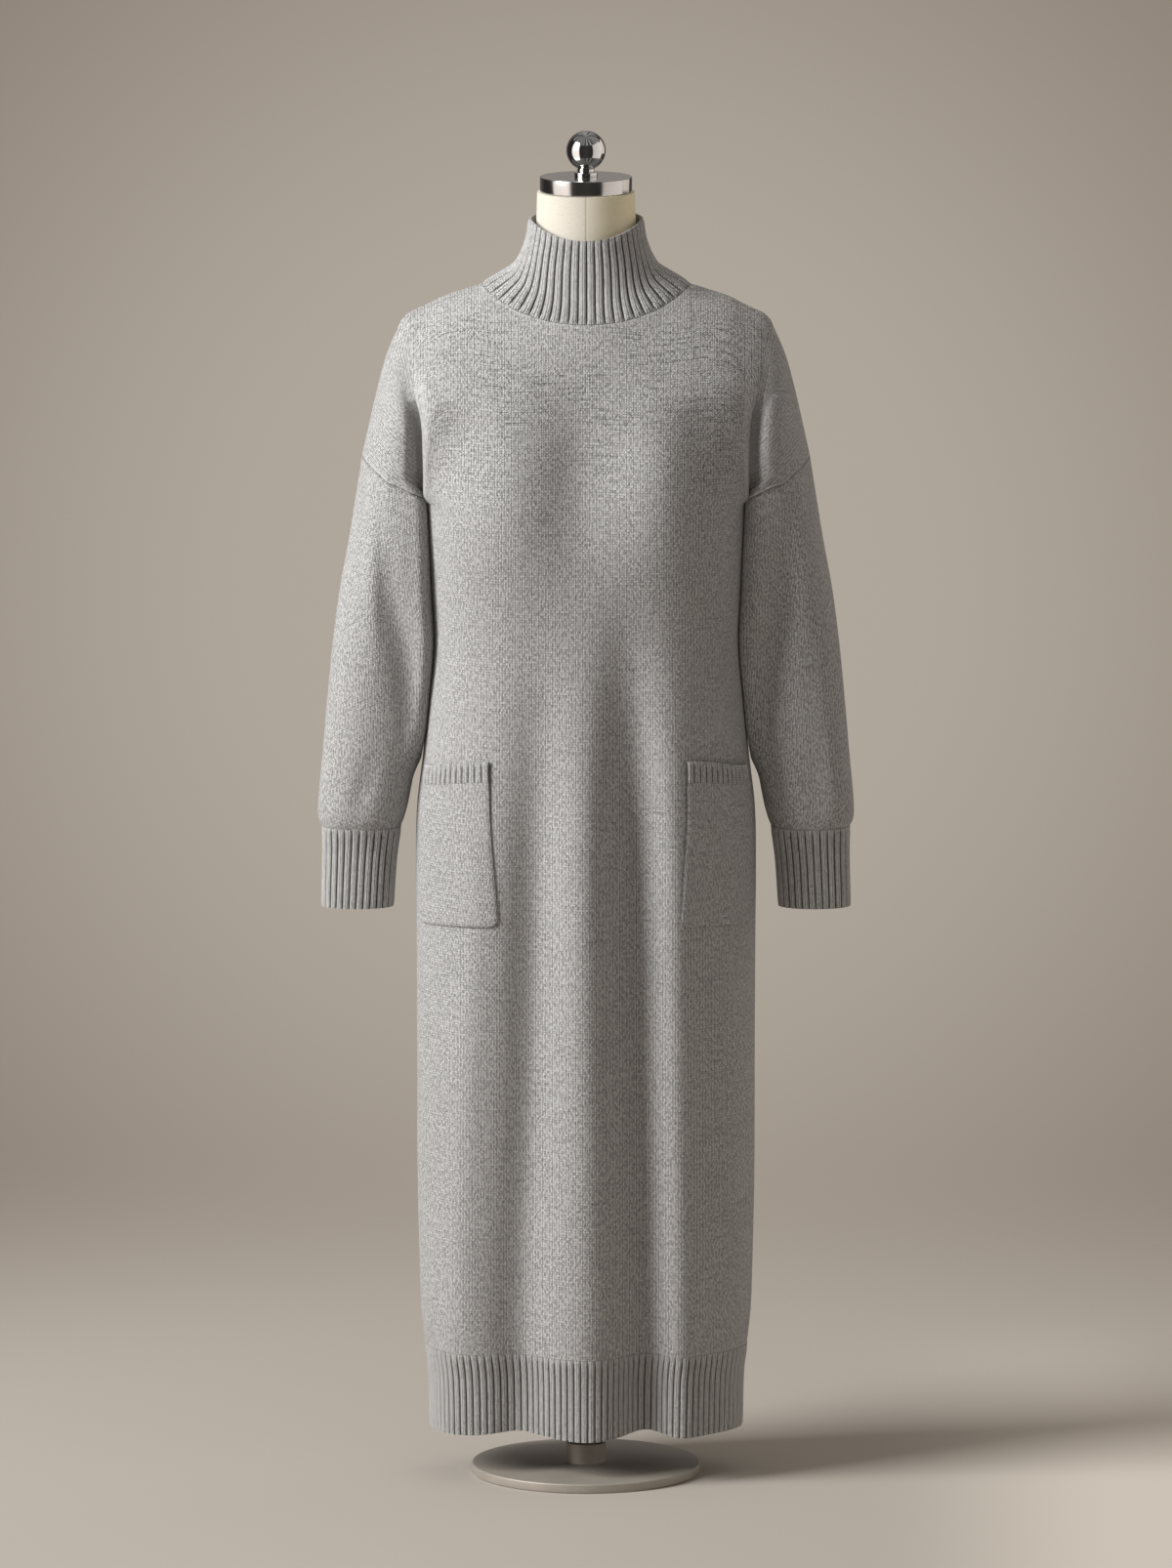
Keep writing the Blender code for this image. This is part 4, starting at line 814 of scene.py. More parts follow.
class FormSettings(bpy.types.PropertyGroup):
    """Colours of the dress form and its stand."""

    linen: FloatVectorProperty(name="Linen", description="Colour of the form's cover",
                               default=(0.640, 0.600, 0.520), min=0.0, max=1.0, subtype="COLOR")
    steel: FloatVectorProperty(name="Steel", description="Colour of the neck cap",
                               default=(0.620, 0.600, 0.580), min=0.0, max=1.0, subtype="COLOR")
    chrome: FloatVectorProperty(name="Chrome", description="Colour of the ball finial",
                                default=(0.700, 0.690, 0.680), min=0.0, max=1.0, subtype="COLOR")
    # Painted shade in part: the stand is real, and its dark warm taupe is the colour of the floor's
    # shadow under the hem, so the base reads as that shadow.
    paint: FloatVectorProperty(name="Paint", description="Colour of the pole and base",
                               default=(0.350, 0.317, 0.276), min=0.0, max=1.0, subtype="COLOR")
    facets: IntProperty(name="Facets", description="Faces round each turned piece",
                        default=96, min=24, max=256)


class StageSettings(bpy.types.PropertyGroup):
    """Floor, air and lights of the studio."""

    floor: FloatVectorProperty(name="Floor", description="Colour of the floor",
                               default=(0.435, 0.400, 0.357), min=0.0, max=1.0, subtype="COLOR")
    air: FloatVectorProperty(name="Air", description="Colour of the light from all round",
                             default=(0.375, 0.355, 0.335), min=0.0, max=1.0, subtype="COLOR")
    backdrop: FloatVectorProperty(name="Backdrop", description="Colour of the lit backdrop",
                                  default=(0.435, 0.387, 0.332), min=0.0, max=1.0, subtype="COLOR")
    key: FloatProperty(name="Key", description="Power of the large light at the left",
                       default=540.0, min=0.0, max=5000.0, unit="POWER")
    upper: FloatProperty(name="Upper", description="Power of the narrow light on the chest",
                         default=2.2, min=0.0, max=500.0, unit="POWER")
    side: FloatProperty(name="Side", description="Power of the faint warm light at the right",
                        default=22.0, min=0.0, max=500.0, unit="POWER")


# ================================================================ operators
class OBJECT_OT_dress_body(bpy.types.Operator):
    """Knit the front and back of the body, from the hem rib to the neck"""

    bl_idname = "object.dress_body"
    bl_label = "Body"

    def execute(self, context):
        sizes = context.scene.dress
        for panel, word in PANELS:
            piece = body_panel(panel, "knit_body_" + word, sizes)
            show(piece, "body_" + word)
        return {"FINISHED"}


SEAM_ROWS = np.array((0.0, 0.004, 0.008, 0.013))
BODY_COLUMNS = 120
ARM_COLUMNS = 30
TRUNK_STEP = 0.0055
YOKE_ROWS = 56


def section_run(width, depth, flat, across):
    """Length round a flattened ellipse, from its middle out to a share of its width."""
    part = np.abs(across)[..., None] * np.sin(np.linspace(0, math.pi / 2, 49))
    x = width[..., None] * part
    y = depth[..., None] * section(part, flat[..., None])
    return np.sign(across) * np.hypot(np.diff(x), np.diff(y)).sum(axis=-1)


def arm_knit(points):
    """Knit coordinates over the upper arm, where the columns turn out to the sleeve."""
    share = np.linspace(0, 1, 241)
    top = np.array([(SHOULDER_END - 0.01, 1.2330), (SHOULDER_END, 1.2279)])
    edge = np.stack((along(ARM, "out_x", 1 - share), along(ARM, "out_height", 1 - share)), axis=1)
    tail = edge[-1] + (edge[-1] - edge[-5]) * np.linspace(1, 14, 14)[:, None]
    outline = np.concatenate((top, edge, tail))
    slope = np.radians(mix(42.0, 80.0, ease((outline[:, 1] - 1.150) / 0.065)))
    way = np.stack((np.cos(slope), np.sin(slope)), axis=1)
    step = np.diff(outline, axis=0)
    width = np.abs(step[:, 0] * way[1:, 1] - step[:, 1] * way[1:, 0])
    run = np.concatenate(([0.0], np.cumsum(width)))
    flat = np.stack((np.abs(points[..., 0]), points[..., 2]), axis=-1).reshape(-1, 2)
    gap = flat[:, None, :] - outline[None]
    off = gap[..., 0] * way[None, :, 1] - gap[..., 1] * way[None, :, 0]
    best = np.argmin(np.abs(off), axis=1)
    pick = np.arange(len(flat))
    other = np.clip(best + np.where(off[pick, best] > 0, 1, -1), 0, len(outline) - 1)
    spread = off[pick, best] - off[pick, other]
    part = np.where(np.abs(spread) > 1e-9, off[pick, best] / np.where(spread == 0, 1, spread), 0)
    u = mix(run[best], run[other], np.clip(part, 0, 1))
    v = -np.linalg.norm(gap[pick, best], axis=1)
    shape = points.shape[:-1]
    return u.reshape(shape) + SHOULDER_END, v.reshape(shape) * 1.15


def body_panel(panel, name, sizes):
    """The front or back of the body as one closed wall of plain knit."""
    turns = np.linspace(-90, 90, BODY_COLUMNS + 1)
    heights = np.linspace(HEM_SEAM, ARMPIT, round((ARMPIT - HEM_SEAM) / TRUNK_STEP) + 1)
    trunk = trunk_point(panel, turns[None, :], heights[:, None])
    up = 1 - (1 - np.linspace(0, 1, YOKE_ROWS + 1)) ** 1.25
    up = np.concatenate((SEAM_ROWS, up[1:-1], 1 - SEAM_ROWS[::-1] * 0.7))
    chest = yoke_point(panel, turns[None, :] / 90, up[:, None])
    arm_share = np.linspace(0, 1, ARM_COLUMNS + 1)
    arms = [arm_point(panel, side, arm_share[None, :], up[:, None]) for side in (LEFT, RIGHT)]
    for arm in arms:
        raised = SEAM_RIDGE * bell(up - 0.008, 0.005)[:, None] * np.sin(math.pi * arm_share) ** 0.5
        arm[..., 1] += panel * raised
    yoke = np.concatenate((arms[0][:, ::-1], chest, arms[1]), axis=1)

    below = trunk[:-1]
    points = np.concatenate((below.reshape(-1, 3), yoke.reshape(-1, 3)))
    first = below.shape[0] * below.shape[1]
    numbers = np.arange(first).reshape(below.shape[:2])
    yoke_numbers = first + np.arange(yoke.shape[0] * yoke.shape[1]).reshape(yoke.shape[:2])
    shared = yoke_numbers[:1, ARM_COLUMNS + 1:-ARM_COLUMNS - 1]
    flip = panel == BACK
    quads = np.concatenate((grid_quads(np.concatenate((numbers, shared)), flip),
                            grid_quads(yoke_numbers, flip)))

    width = along(TRUNK, "half_width", below[..., 2])
    depth = along(TRUNK, DEPTH_OF[panel], below[..., 2])
    flat = along(TRUNK, "flat", below[..., 2])
    u_trunk = section_run(width, depth, flat, np.clip(below[..., 0] / width, -1, 1))
    u_chest = chest_run(panel, chest, up[:, None])
    v_chest = run_length(chest[..., 1:], 0) + ARMPIT
    uv_trunk = np.stack((u_trunk, below[..., 2]), axis=-1)
    uv_parts, turned = [], []
    for side, arm in zip((LEFT, RIGHT), arms):
        u_arm, v_arm = arm_knit(arm)
        steps = np.diff(arm, axis=1)[:, ::-1]
        run = np.linalg.norm(steps, axis=-1) - np.hypot(steps[..., 0], steps[..., 2])
        turned.append(np.cumsum(np.pad(run, ((0, 0), (1, 0))), axis=1)[:, ::-1])
        uv_parts.append(np.stack((side * u_arm, v_arm - turned[-1]), axis=-1))
    uv_yoke = np.concatenate((uv_parts[0][:, ::-1], np.stack((u_chest, v_chest), axis=-1),
                              uv_parts[1]), axis=1)
    fold_uv = [np.stack(arm_knit(chest[:, place]), axis=-1) * (side, 1.0)
               - np.stack((away[:, 0] * 0, away[:, 0]), axis=-1)
               for side, place, away in zip((LEFT, RIGHT), (0, -1), turned)]
    uv = np.concatenate((uv_trunk.reshape(-1, 2), uv_yoke.reshape(-1, 2), *fold_uv))
    # The narrow strip inside each arm fold carries on the arm's stitches, not the chest's.
    places = quads.copy()
    columns = yoke.shape[1] - 1
    for k, (strip, fold) in enumerate(((ARM_COLUMNS, ARM_COLUMNS + 1),
                                       (columns - 1 - ARM_COLUMNS, columns - 1 - ARM_COLUMNS))):
        other = np.arange(len(points))
        other[yoke_numbers[:, fold]] = len(points) + k * len(up) + np.arange(len(up))
        chosen = len(quads) - (len(up) - 1) * columns + np.arange(len(up) - 1) * columns + strip
        places[chosen] = other[quads[chosen]]

    seams = np.full((len(points), 3), np.nan)
    seams[numbers[:, 0]] = (-1.0, 0.0, 0.0)
    seams[numbers[:, -1]] = (1.0, 0.0, 0.0)
    neck = np.abs(turns / 90) <= NECK_SHARE + 1e-9
    neck_row = yoke_numbers[-1, ARM_COLUMNS + 1:-ARM_COLUMNS - 1]
    seams[neck_row[neck]] = neck_out(panel, turns[neck] / 90 / NECK_SHARE)
    shade = np.zeros(len(points))
    # Painted highlight: a lighter line along the body's side edges beside the arm folds, and along
    # the armhole and neck seams on the body's side.
    edge_painted_highlight = EDGE_PAINTED_HIGHLIGHT * bell(np.abs(np.sin(np.radians(turns))) - 0.992, 0.010)
    shade[numbers] = -edge_painted_highlight * ease((below[..., 2] - 0.86) / 0.08)
    arm_seam_painted_highlight = np.repeat(-0.55 * bell(up - 0.008, 0.004)[:, None], ARM_COLUMNS + 1, axis=1)
    neck_seam_painted_highlight = -0.30 * bell((1 - up[:, None]) * 0.2 - 0.0015, 0.0012) * neck[None, :]
    chest_painted_highlight = neck_seam_painted_highlight - edge_painted_highlight[None, :] * ease((0.76 - up[:, None]) / 0.15)
    shade[yoke_numbers] = np.concatenate((arm_seam_painted_highlight, chest_painted_highlight, arm_seam_painted_highlight), axis=1)
    return wall(name, points, quads, places, uv, sizes.cloth, bpy.data.materials["grey_knit"],
                seams=seams, half=panel, shade=shade)


def chest_run(panel, chest, up):
    """How far round the chest each point lies from the middle."""
    width = np.broadcast_to(along(CREASE, "x", up), chest.shape[:2])
    side_depth = along(CREASE, "fullness", up)
    depth = np.broadcast_to(along(TRUNK, DEPTH_OF[panel], ARMPIT) - side_depth, chest.shape[:2])
    flat = np.full(chest.shape[:2], YOKE_FLAT)
    return section_run(width, depth, flat, np.clip(chest[..., 0] / width, -1, 1))


def tube_wall(name, grid, thickness, material, side, wales=None, inner=None, shade=None):
    """A closed ring wall from a grid of points whose last column repeats its first."""
    rows, columns = grid.shape[0], grid.shape[1] - 1
    points = grid[:, :-1].reshape(-1, 3)
    numbers = np.arange(rows * columns).reshape(rows, columns)
    numbers = np.concatenate((numbers, numbers[:, :1]), axis=1)
    places = np.arange(rows * (columns + 1)).reshape(rows, columns + 1)
    if wales is None:
        around = run_length(grid, 1)
        around = around - around[:, columns // 2][:, None]
    else:
        around = np.broadcast_to(wales, places.shape)
    down = run_length(grid, 0)
    uv = np.stack((around, -down), axis=-1).reshape(-1, 2)
    flip = side == RIGHT
    if inner is not None:
        inner = inner[:, :-1].reshape(-1, 3)
    if shade is not None:
        shade = shade[:, :-1]
    return wall(name, points, grid_quads(numbers, flip), grid_quads(places, flip), uv,
                thickness, material, inner=inner, shade=shade)


class OBJECT_OT_dress_sleeves(bpy.types.Operator):
    """Knit both sleeves, from the armhole seam to the cuff"""

    bl_idname = "object.dress_sleeves"
    bl_label = "Sleeves"

    def execute(self, context):
        sizes = context.scene.dress
        for side, word in SIDES:
            piece = sleeve(side, "knit_sleeve_" + word, sizes)
            show(piece, "sleeve_" + word)
        return {"FINISHED"}


def sleeve_grid(side, down, turns):
    """Points of a sleeve's outside, which lies softly against the body's side."""
    grid = tube_point(SLEEVE, side, down[:, None], turns[None, :],
                      1 - ease(down[:, None] / SKEW_END))
    reach = (1 + np.sin(np.radians(turns[None, :]))) / 2
    ahead = np.maximum(np.cos(np.radians(turns[None, :])), 0.0) ** 0.5
    for fold in rows_of(SLEEVE_FOLDS):
        if fold["side"] == side:
            near = bell(reach - fold["reach"] - fold["slant"] * (grid[..., 2] - fold["height"]),
                        fold["width"])
            length = bell(grid[..., 2] - fold["height"], fold["half_height"])
            grid[..., 1] -= fold["rise"] * near * length * ahead
    x, y, z = side * grid[..., 0], grid[..., 1], grid[..., 2]
    inward = np.maximum(-np.sin(np.radians(turns)), 0.0)[None, :]
    x = x - HUG * inward ** 0.6 * ease((z - HUG_LOW) / (HUG_HIGH - HUG_LOW))
    depth = np.where(y < 0, along(TRUNK, "front", z), along(TRUNK, "back", z))
    body = along(TRUNK, "half_width", z) * section(np.minimum(np.abs(y) / depth, 1.0),
                                                   along(TRUNK, "flat", z))
    grid[..., 0] = side * rest_beside(x, body)
    return grid


def sleeve(side, name, sizes):
    """One sleeve as a tapered tube of plain knit."""
    turns = np.linspace(-90, 270, 97)
    down = np.concatenate((SEAM_ROWS[:-1], np.linspace(0, 1, 76)[1:]))
    grid = sleeve_grid(side, down, turns)
    # Painted shade: a thin dark band on the sleeve just below the armhole seam.
    shade = np.repeat(0.8 * bell(down, 0.005)[:, None], len(turns), axis=1)
    return tube_wall(name, grid, sizes.cloth, bpy.data.materials["grey_knit"], side, shade=shade)


RIB_CLOTH = 0.0021
RIB_STEPS = np.array((0.0, 0.05, 0.11, 0.18, 0.28, 0.42, 0.58, 0.72, 0.82, 0.89, 0.95))
GROOVE_WIDTH = 0.125


def rib_columns(ribs):
    """Places round a ribbed piece in ribs, close together at the grooves, and the relief."""
    whole = np.arange(ribs)[:, None] + RIB_STEPS[None, :]
    places = np.append(whole.ravel(), ribs)
    phase = places % 1.0
    near = np.minimum(phase, 1 - phase)
    return places, 1 - bell(near, GROOVE_WIDTH)


def grid_out(grid, side_sign=1.0):
    """The way out of a grid of points."""
    across = np.gradient(grid, axis=1)
    climb = np.gradient(grid, axis=0)
    out = np.cross(across, climb) * side_sign
    return out / np.maximum(np.linalg.norm(out, axis=-1), 1e-12)[..., None]


def ribbed(name, grid, out, relief, fade, sizes, side, closed, half=0, shade=None):
    """A ribbed wall: ribs raised on the outside of a plain inner side."""
    total = sizes.rib_rise + sizes.groove
    raised = relief[None, :] * total * fade[:, None] - sizes.groove * fade[:, None]
    outer = grid + out * raised[..., None]
    inner = grid - out * RIB_CLOTH
    places, _ = rib_columns(int(round((len(relief) - 1) / len(RIB_STEPS))))
    wales = places * 2 * sizes.wale
    material = bpy.data.materials["grey_rib"]
    if closed:
        return tube_wall(name, outer, 0.0, material, side, wales=wales, inner=inner, shade=shade)
    rows, columns = grid.shape[:2]
    numbers = np.arange(rows * columns).reshape(rows, columns)
    uv = np.stack((np.broadcast_to(wales, (rows, columns)), -run_length(grid, 0)), axis=-1)
    quads = grid_quads(numbers, side == RIGHT)
    return wall(name, outer.reshape(-1, 3), quads, quads, uv.reshape(-1, 2), 0.0, material,
                half=half, inner=inner.reshape(-1, 3))


def edge_fade(rows, start, end):
    """Relief along a rib: low where it meets plain knit, full along, gone at a rolled edge."""
    place = np.linspace(0, 1, rows)
    return mix(start, 1.0, ease(place / 0.12)) * mix(1.0, end, ease((place - 0.93) / 0.07))


class OBJECT_OT_dress_ribs(bpy.types.Operator):
    """Knit the ribbed cuffs, hem and collar"""

    bl_idname = "object.dress_ribs"
    bl_label = "Cuffs, hem and collar"

    def execute(self, context):
        sizes = context.scene.dress
        for side, word in SIDES:
            finish_rib(cuff(side, "rib_cuff_" + word, sizes), "cuff_" + word)
        for panel, word in PANELS:
            finish_rib(hem(panel, "rib_hem_" + word, sizes), "hem_" + word)
        finish_rib(collar("rib_collar", sizes), "collar")
        return {"FINISHED"}


def finish_rib(piece, node):
    """Show one ribbed piece in its solid's place."""
    show(piece, node)


def cuff(side, name, sizes):
    """One ribbed cuff."""
    places, relief = rib_columns(CUFF_RIBS)
    even = even_angles(lambda angle: tube_point(CUFF, side, 0.5, angle), 2000, -90, 270)
    turns = np.interp(places / CUFF_RIBS, np.linspace(0, 1, 2001), even)
    down = np.linspace(0, 1, 30)
    grid = tube_point(CUFF, side, down[:, None], turns[None, :])
    grid[0, :, 2] -= SEAM_GAP
    out = grid_out(grid, -side)
    return ribbed(name, grid, out, relief, edge_fade(30, 0.4, 0.7), sizes, side, True)


def hem(panel, name, sizes):
    """The ribbed hem of the front or back."""
    places, relief = rib_columns(HEM_RIBS)
    middle = (HEM_EDGE + HEM_SEAM) / 2
    even = even_angles(lambda angle: trunk_point(panel, angle, middle), 2000, -90, 90)
    turns = np.interp(places / HEM_RIBS, np.linspace(0, 1, 2001), even)
    height = np.linspace(HEM_SEAM - SEAM_GAP, HEM_EDGE, 30)
    grid = trunk_point(panel, turns[None, :], height[:, None])
    wave = fold_rise(panel, grid[..., 0], grid[..., 2])
    grid[..., 2] -= 0.16 * wave * ease(np.linspace(0, 1, 30))[:, None]
    out = grid_out(grid, -1.0 if panel == FRONT else 1.0)
    out[:, 0] = (-1.0, 0.0, 0.0)
    out[:, -1] = (1.0, 0.0, 0.0)
    side = LEFT if panel == BACK else RIGHT
    fade = edge_fade(30, 0.5, 0.75)
    return ribbed(name, grid, out, relief, fade, sizes, side, False, half=panel)


def collar(name, sizes):
    """The ribbed funnel neck with its plain rolled edge."""
    places, relief = rib_columns(COLLAR_RIBS)
    even = even_angles(lambda angle: collar_point(angle, 0.6), 2400, -90, 270)
    turns = np.interp(places / COLLAR_RIBS, np.linspace(0, 1, 2401), even)
    up = np.concatenate(((0.0, 0.010, 0.018), np.linspace(0, 1, 34)[1:]))
    share = np.abs((turns + 90) % 180 - 90) / 90
    closer = np.where(share > 0, COLLAR_CLOSE + (1 - COLLAR_CLOSE) * share ** 2, 1.0)
    middle = np.round(turns / 180) * 180
    base = middle + (turns - middle) * closer
    spread = mix(base[None, :], turns[None, :], ease(up[:, None] / 0.8))
    grid = collar_point(spread, up[:, None])
    out = grid_out(grid, 1.0)
    # Painted shade: a thin dark line at the neck seam and a darker foot to the collar, where its
    # ribs tilt up towards the light.
    shade = 0.55 * bell(up, 0.012) + 0.20 * (1 - ease(up / 0.25))
    shade = np.repeat(shade[:, None], len(turns), axis=1)
    return ribbed(name, grid, out, relief, edge_fade(36, 0.05, 0.0), sizes, LEFT, True,
                  shade=shade)


class OBJECT_OT_dress_pockets(bpy.types.Operator):
    """Knit both patch pockets and the ribbed bands along their mouths"""

    bl_idname = "object.dress_pockets"
    bl_label = "Pockets"

    def execute(self, context):
        sizes = context.scene.dress
        for side, word, *edges in POCKETS:
            piece = pocket(side, "knit_pocket_" + word, edges)
            show(piece, "pocket_" + word)
            band = pocket_band(side, "rib_pocket_" + word, edges, sizes)
            finish_rib(band, "pocket_rib_" + word)
        return {"FINISHED"}


def pocket_share(height):
    """How far up a pocket a height lies, from its floor (0) to its mouth (1)."""
    return (height - POCKET_FLOOR) / (POCKET_MOUTH - POCKET_FLOOR)


def pocket_span(edges, height):
    """A pocket's inner and outer edges, in degrees, at a height."""
    inner_top, inner_low, outer_top, outer_low = edges
    share = pocket_share(height)
    return mix(inner_low, inner_top, share), mix(outer_low, outer_top, share)


def pocket_drop(across, height):
    """How far a pocket hangs down towards its outer side, most at its mouth."""
    share = pocket_share(height)
    return mix(POCKET_DROP[0], POCKET_DROP[1], np.clip(share, 0, 1)) * ease(across)


def over_front(angle, height, rise):
    """Points over the front of the body, moved straight out of it."""
    step = 0.6
    base = trunk_point(FRONT, angle, height)
    run = trunk_point(FRONT, angle + step, height) - trunk_point(FRONT, angle - step, height)
    level = point(run[..., 1], -run[..., 0], 0.0)
    level /= np.linalg.norm(level, axis=-1)[..., None]
    return base + level * np.asarray(rise)[..., None], level


def stand_off(height):
    """How far a pocket hangs clear of the front: most at its mouth."""
    share = pocket_share(height)
    return POCKET_GAP + POCKET_STAND * np.clip(share, 0, 1) ** 3


def pocket(side, name, edges):
    """One patch pocket, made from the front's own points moved out."""
    across = (1 - np.cos(np.linspace(0, math.pi, 73))) / 2
    up = (1 - np.cos(np.linspace(0, math.pi, 91))) / 2
    inner, outer = pocket_span(edges, (POCKET_FLOOR + POCKET_RIB_SEAM) / 2)
    width = 0.165 * np.radians(outer - inner) * 0.75
    reach = across * width
    corner = np.clip(POCKET_CORNER - reach, 0, None)
    lift = POCKET_CORNER - np.sqrt(POCKET_CORNER ** 2 - corner ** 2)
    height = mix(POCKET_FLOOR + lift[None, :], POCKET_RIB_SEAM, up[:, None])
    low, high = pocket_span(edges, height)
    angle = side * mix(low, high, across[None, :])
    hung = height - pocket_drop(across[None, :], height)
    grid, level = over_front(angle, hung, stand_off(height) + POCKET_CLOTH)
    numbers = np.arange(grid.shape[0] * grid.shape[1]).reshape(grid.shape[:2])
    uv = np.stack((side * run_length(grid, 1), grid[..., 2]), axis=-1)
    quads = grid_quads(numbers, side == LEFT)
    edge = np.minimum(reach[None, :], height - POCKET_FLOOR - lift[None, :])
    rest = grid.copy()
    grid -= level * (POCKET_EDGE * bell(edge, 0.0016))[..., None]
    # Painted shade along the pocket's inner side and floor, where it stands clear of the front.
    return wall(name, grid.reshape(-1, 3), quads, quads, uv.reshape(-1, 2), POCKET_CLOTH,
                bpy.data.materials["grey_knit"], inner=(rest - level * POCKET_CLOTH).reshape(-1, 3),
                shade=0.5 * bell(edge, 0.0009))


def pocket_band(side, name, edges, sizes):
    """The ribbed band along a pocket's mouth."""
    places, relief = rib_columns(POCKET_RIBS)
    height = np.linspace(POCKET_MOUTH, POCKET_RIB_SEAM + SEAM_GAP, 14)
    low, high = pocket_span(edges, height[:, None])
    across = places[None, :] / POCKET_RIBS
    angle = side * mix(low, high, across)
    hung = height[:, None] - pocket_drop(across, height[:, None])
    rise = np.broadcast_to(stand_off(height)[:, None] + POCKET_CLOTH, angle.shape)
    grid, level = over_front(angle, hung, rise)
    return ribbed(name, grid, level, relief, edge_fade(14, 0.6, 0.6) * 0.6, sizes, -side, False)


# ---------------------------------------------------------------- form and stand
class OBJECT_OT_dress_form(bpy.types.Operator):
    """Shape the linen-covered torso with its neck"""

    bl_idname = "object.dress_form"
    bl_label = "Dress form"

    def execute(self, context):
        piece = torso("linen_form", context.scene.dress_form.facets)
        show(piece, "form_torso")
        return {"FINISHED"}


def torso(name, facets):
    """The torso from rings of its table, closed above and below."""
    rings = [(z, along(FORM, "half_width", z), along(FORM, "front", z), along(FORM, "back", z))
             for z in np.linspace(0.600, FORM_CHEST, 40)]
    shoulder = table("up half_width front back", FORM_SHOULDER)
    for up in np.linspace(0, 1, 24)[1:]:
        rings.append((mix(FORM_CHEST, FORM_TOP, up), along(shoulder, "half_width", up),
                      along(shoulder, "front", up), along(shoulder, "back", up)))
    neck = table("height radius", ((FORM_TOP, 0.0565),) + NECK_RINGS)
    for z in np.linspace(FORM_TOP, NECK_RINGS[-1][0], 18)[1:]:
        radius = along(neck, "radius", z)
        rings.append((z, radius, radius, radius))
    bm = bmesh.new()
    turns = np.linspace(0, 2 * math.pi, facets, endpoint=False)
    made = []
    for z, width, front, back in rings:
        line = []
        for turn in turns:
            ahead = front if math.sin(turn) < 0 else back
            line.append(bm.verts.new((width * math.cos(turn), ahead * math.sin(turn), z)))
        made.append(line)
    for low, high in zip(made, made[1:]):
        for j in range(facets):
            k = (j + 1) % facets
            bm.faces.new((low[j], low[k], high[k], high[j]))
    bm.faces.new(list(reversed(made[0])))
    bm.faces.new(made[-1])
    mesh = bpy.data.meshes.new(name)
    bm.to_mesh(mesh)
    bm.free()
    return finished_object(name, mesh, bpy.data.materials["linen"], 50.0)


def edit_last(context, name, material):
    """Name the primitive just added, and give it its finish."""
    piece = context.object
    piece.name = name
    piece.data.name = name
    piece.data.materials.append(material)
    return piece


def select_faces(piece, test):
    """In edit mode, select the faces whose middle and direction pass a test."""
    bm = bmesh.from_edit_mesh(piece.data)
    for face in bm.faces:
        face.select_set(False)
    for face in bm.faces:
        if test(face.calc_center_median(), face.normal):
            face.select_set(True)
    bm.select_flush_mode()
    bmesh.update_edit_mesh(piece.data)


def bevel_and_settle(piece, width, segments, angle=40.0):
    """Round a hard piece's edges, and put its place into its mesh."""
    bevel = piece.modifiers.new("Rounded edges", "BEVEL")
    bevel.width = width
    bevel.segments = segments
    bevel.limit_method = "ANGLE"
    bevel.angle_limit = math.radians(angle)
    bpy.ops.object.modifier_apply(modifier=bevel.name)
    bpy.ops.object.transform_apply(location=True, rotation=True, scale=True)
    bpy.ops.object.shade_smooth_by_angle(angle=math.radians(35))


class OBJECT_OT_dress_cap(bpy.types.Operator):
    """Turn the steel neck cap and the chrome ball finial"""

    bl_idname = "object.dress_cap"
    bl_label = "Neck cap and finial"

    def execute(self, context):
        facets = context.scene.dress_form.facets
        clear_selection()
        bpy.ops.mesh.primitive_cylinder_add(vertices=facets, radius=CAP_RADIUS,
                                            depth=CAP_TOP - CAP_LOW,
                                            location=(0, 0, (CAP_TOP + CAP_LOW) / 2))
        cap = edit_last(context, "steel_cap", bpy.data.materials["steel"])
        bpy.ops.object.mode_set(mode="EDIT")
        select_faces(cap, lambda middle, normal: normal.z > 0.9)
        bpy.ops.mesh.inset(thickness=0.0016, depth=0.0)
        bpy.ops.mesh.inset(thickness=0.0300, depth=0.0003)
        bpy.ops.object.mode_set(mode="OBJECT")
        bevel_and_settle(cap, 0.0007, 3, 20.0)
        show(cap, "neck_cap")

        clear_selection()
        low = CAP_TOP + SEAM_GAP
        bpy.ops.mesh.primitive_cylinder_add(vertices=facets, radius=0.0120, depth=0.0042,
                                            location=(0, 0, low + 0.0021))
        finial = edit_last(context, "chrome_finial", bpy.data.materials["chrome"])
        bpy.ops.object.mode_set(mode="EDIT")
        select_faces(finial, lambda middle, normal: normal.z > 0.9)
        bpy.ops.mesh.inset(thickness=0.0042, depth=0.0)
        bpy.ops.mesh.extrude_region_move(TRANSFORM_OT_translate={"value": (0, 0, 0.0008)})
        bpy.ops.transform.resize(value=(1.15, 1.15, 1.0))
        bpy.ops.mesh.extrude_region_move(TRANSFORM_OT_translate={"value": (0, 0, 0.0030)})
        bpy.ops.mesh.inset(thickness=0.0018, depth=0.0)
        start = math.acos(-math.sqrt(1 - (0.0072 / BALL_RADIUS) ** 2))
        steps = 30
        height = low + 0.0080
        radius = 0.0072
        for k in range(steps):
            turn = start * (1 - k / (steps - 1) * 0.985)
            next_z = BALL_HEIGHT + BALL_RADIUS * math.cos(turn)
            next_radius = BALL_RADIUS * math.sin(turn)
            grow = next_radius / radius
            bpy.ops.mesh.extrude_region_move(
                TRANSFORM_OT_translate={"value": (0, 0, next_z - height)})
            bpy.ops.transform.resize(value=(grow, grow, 1.0))
            height, radius = next_z, next_radius
        bpy.ops.object.mode_set(mode="OBJECT")
        bevel_and_settle(finial, 0.0005, 3, 50.0)
        show(finial, "finial")
        return {"FINISHED"}


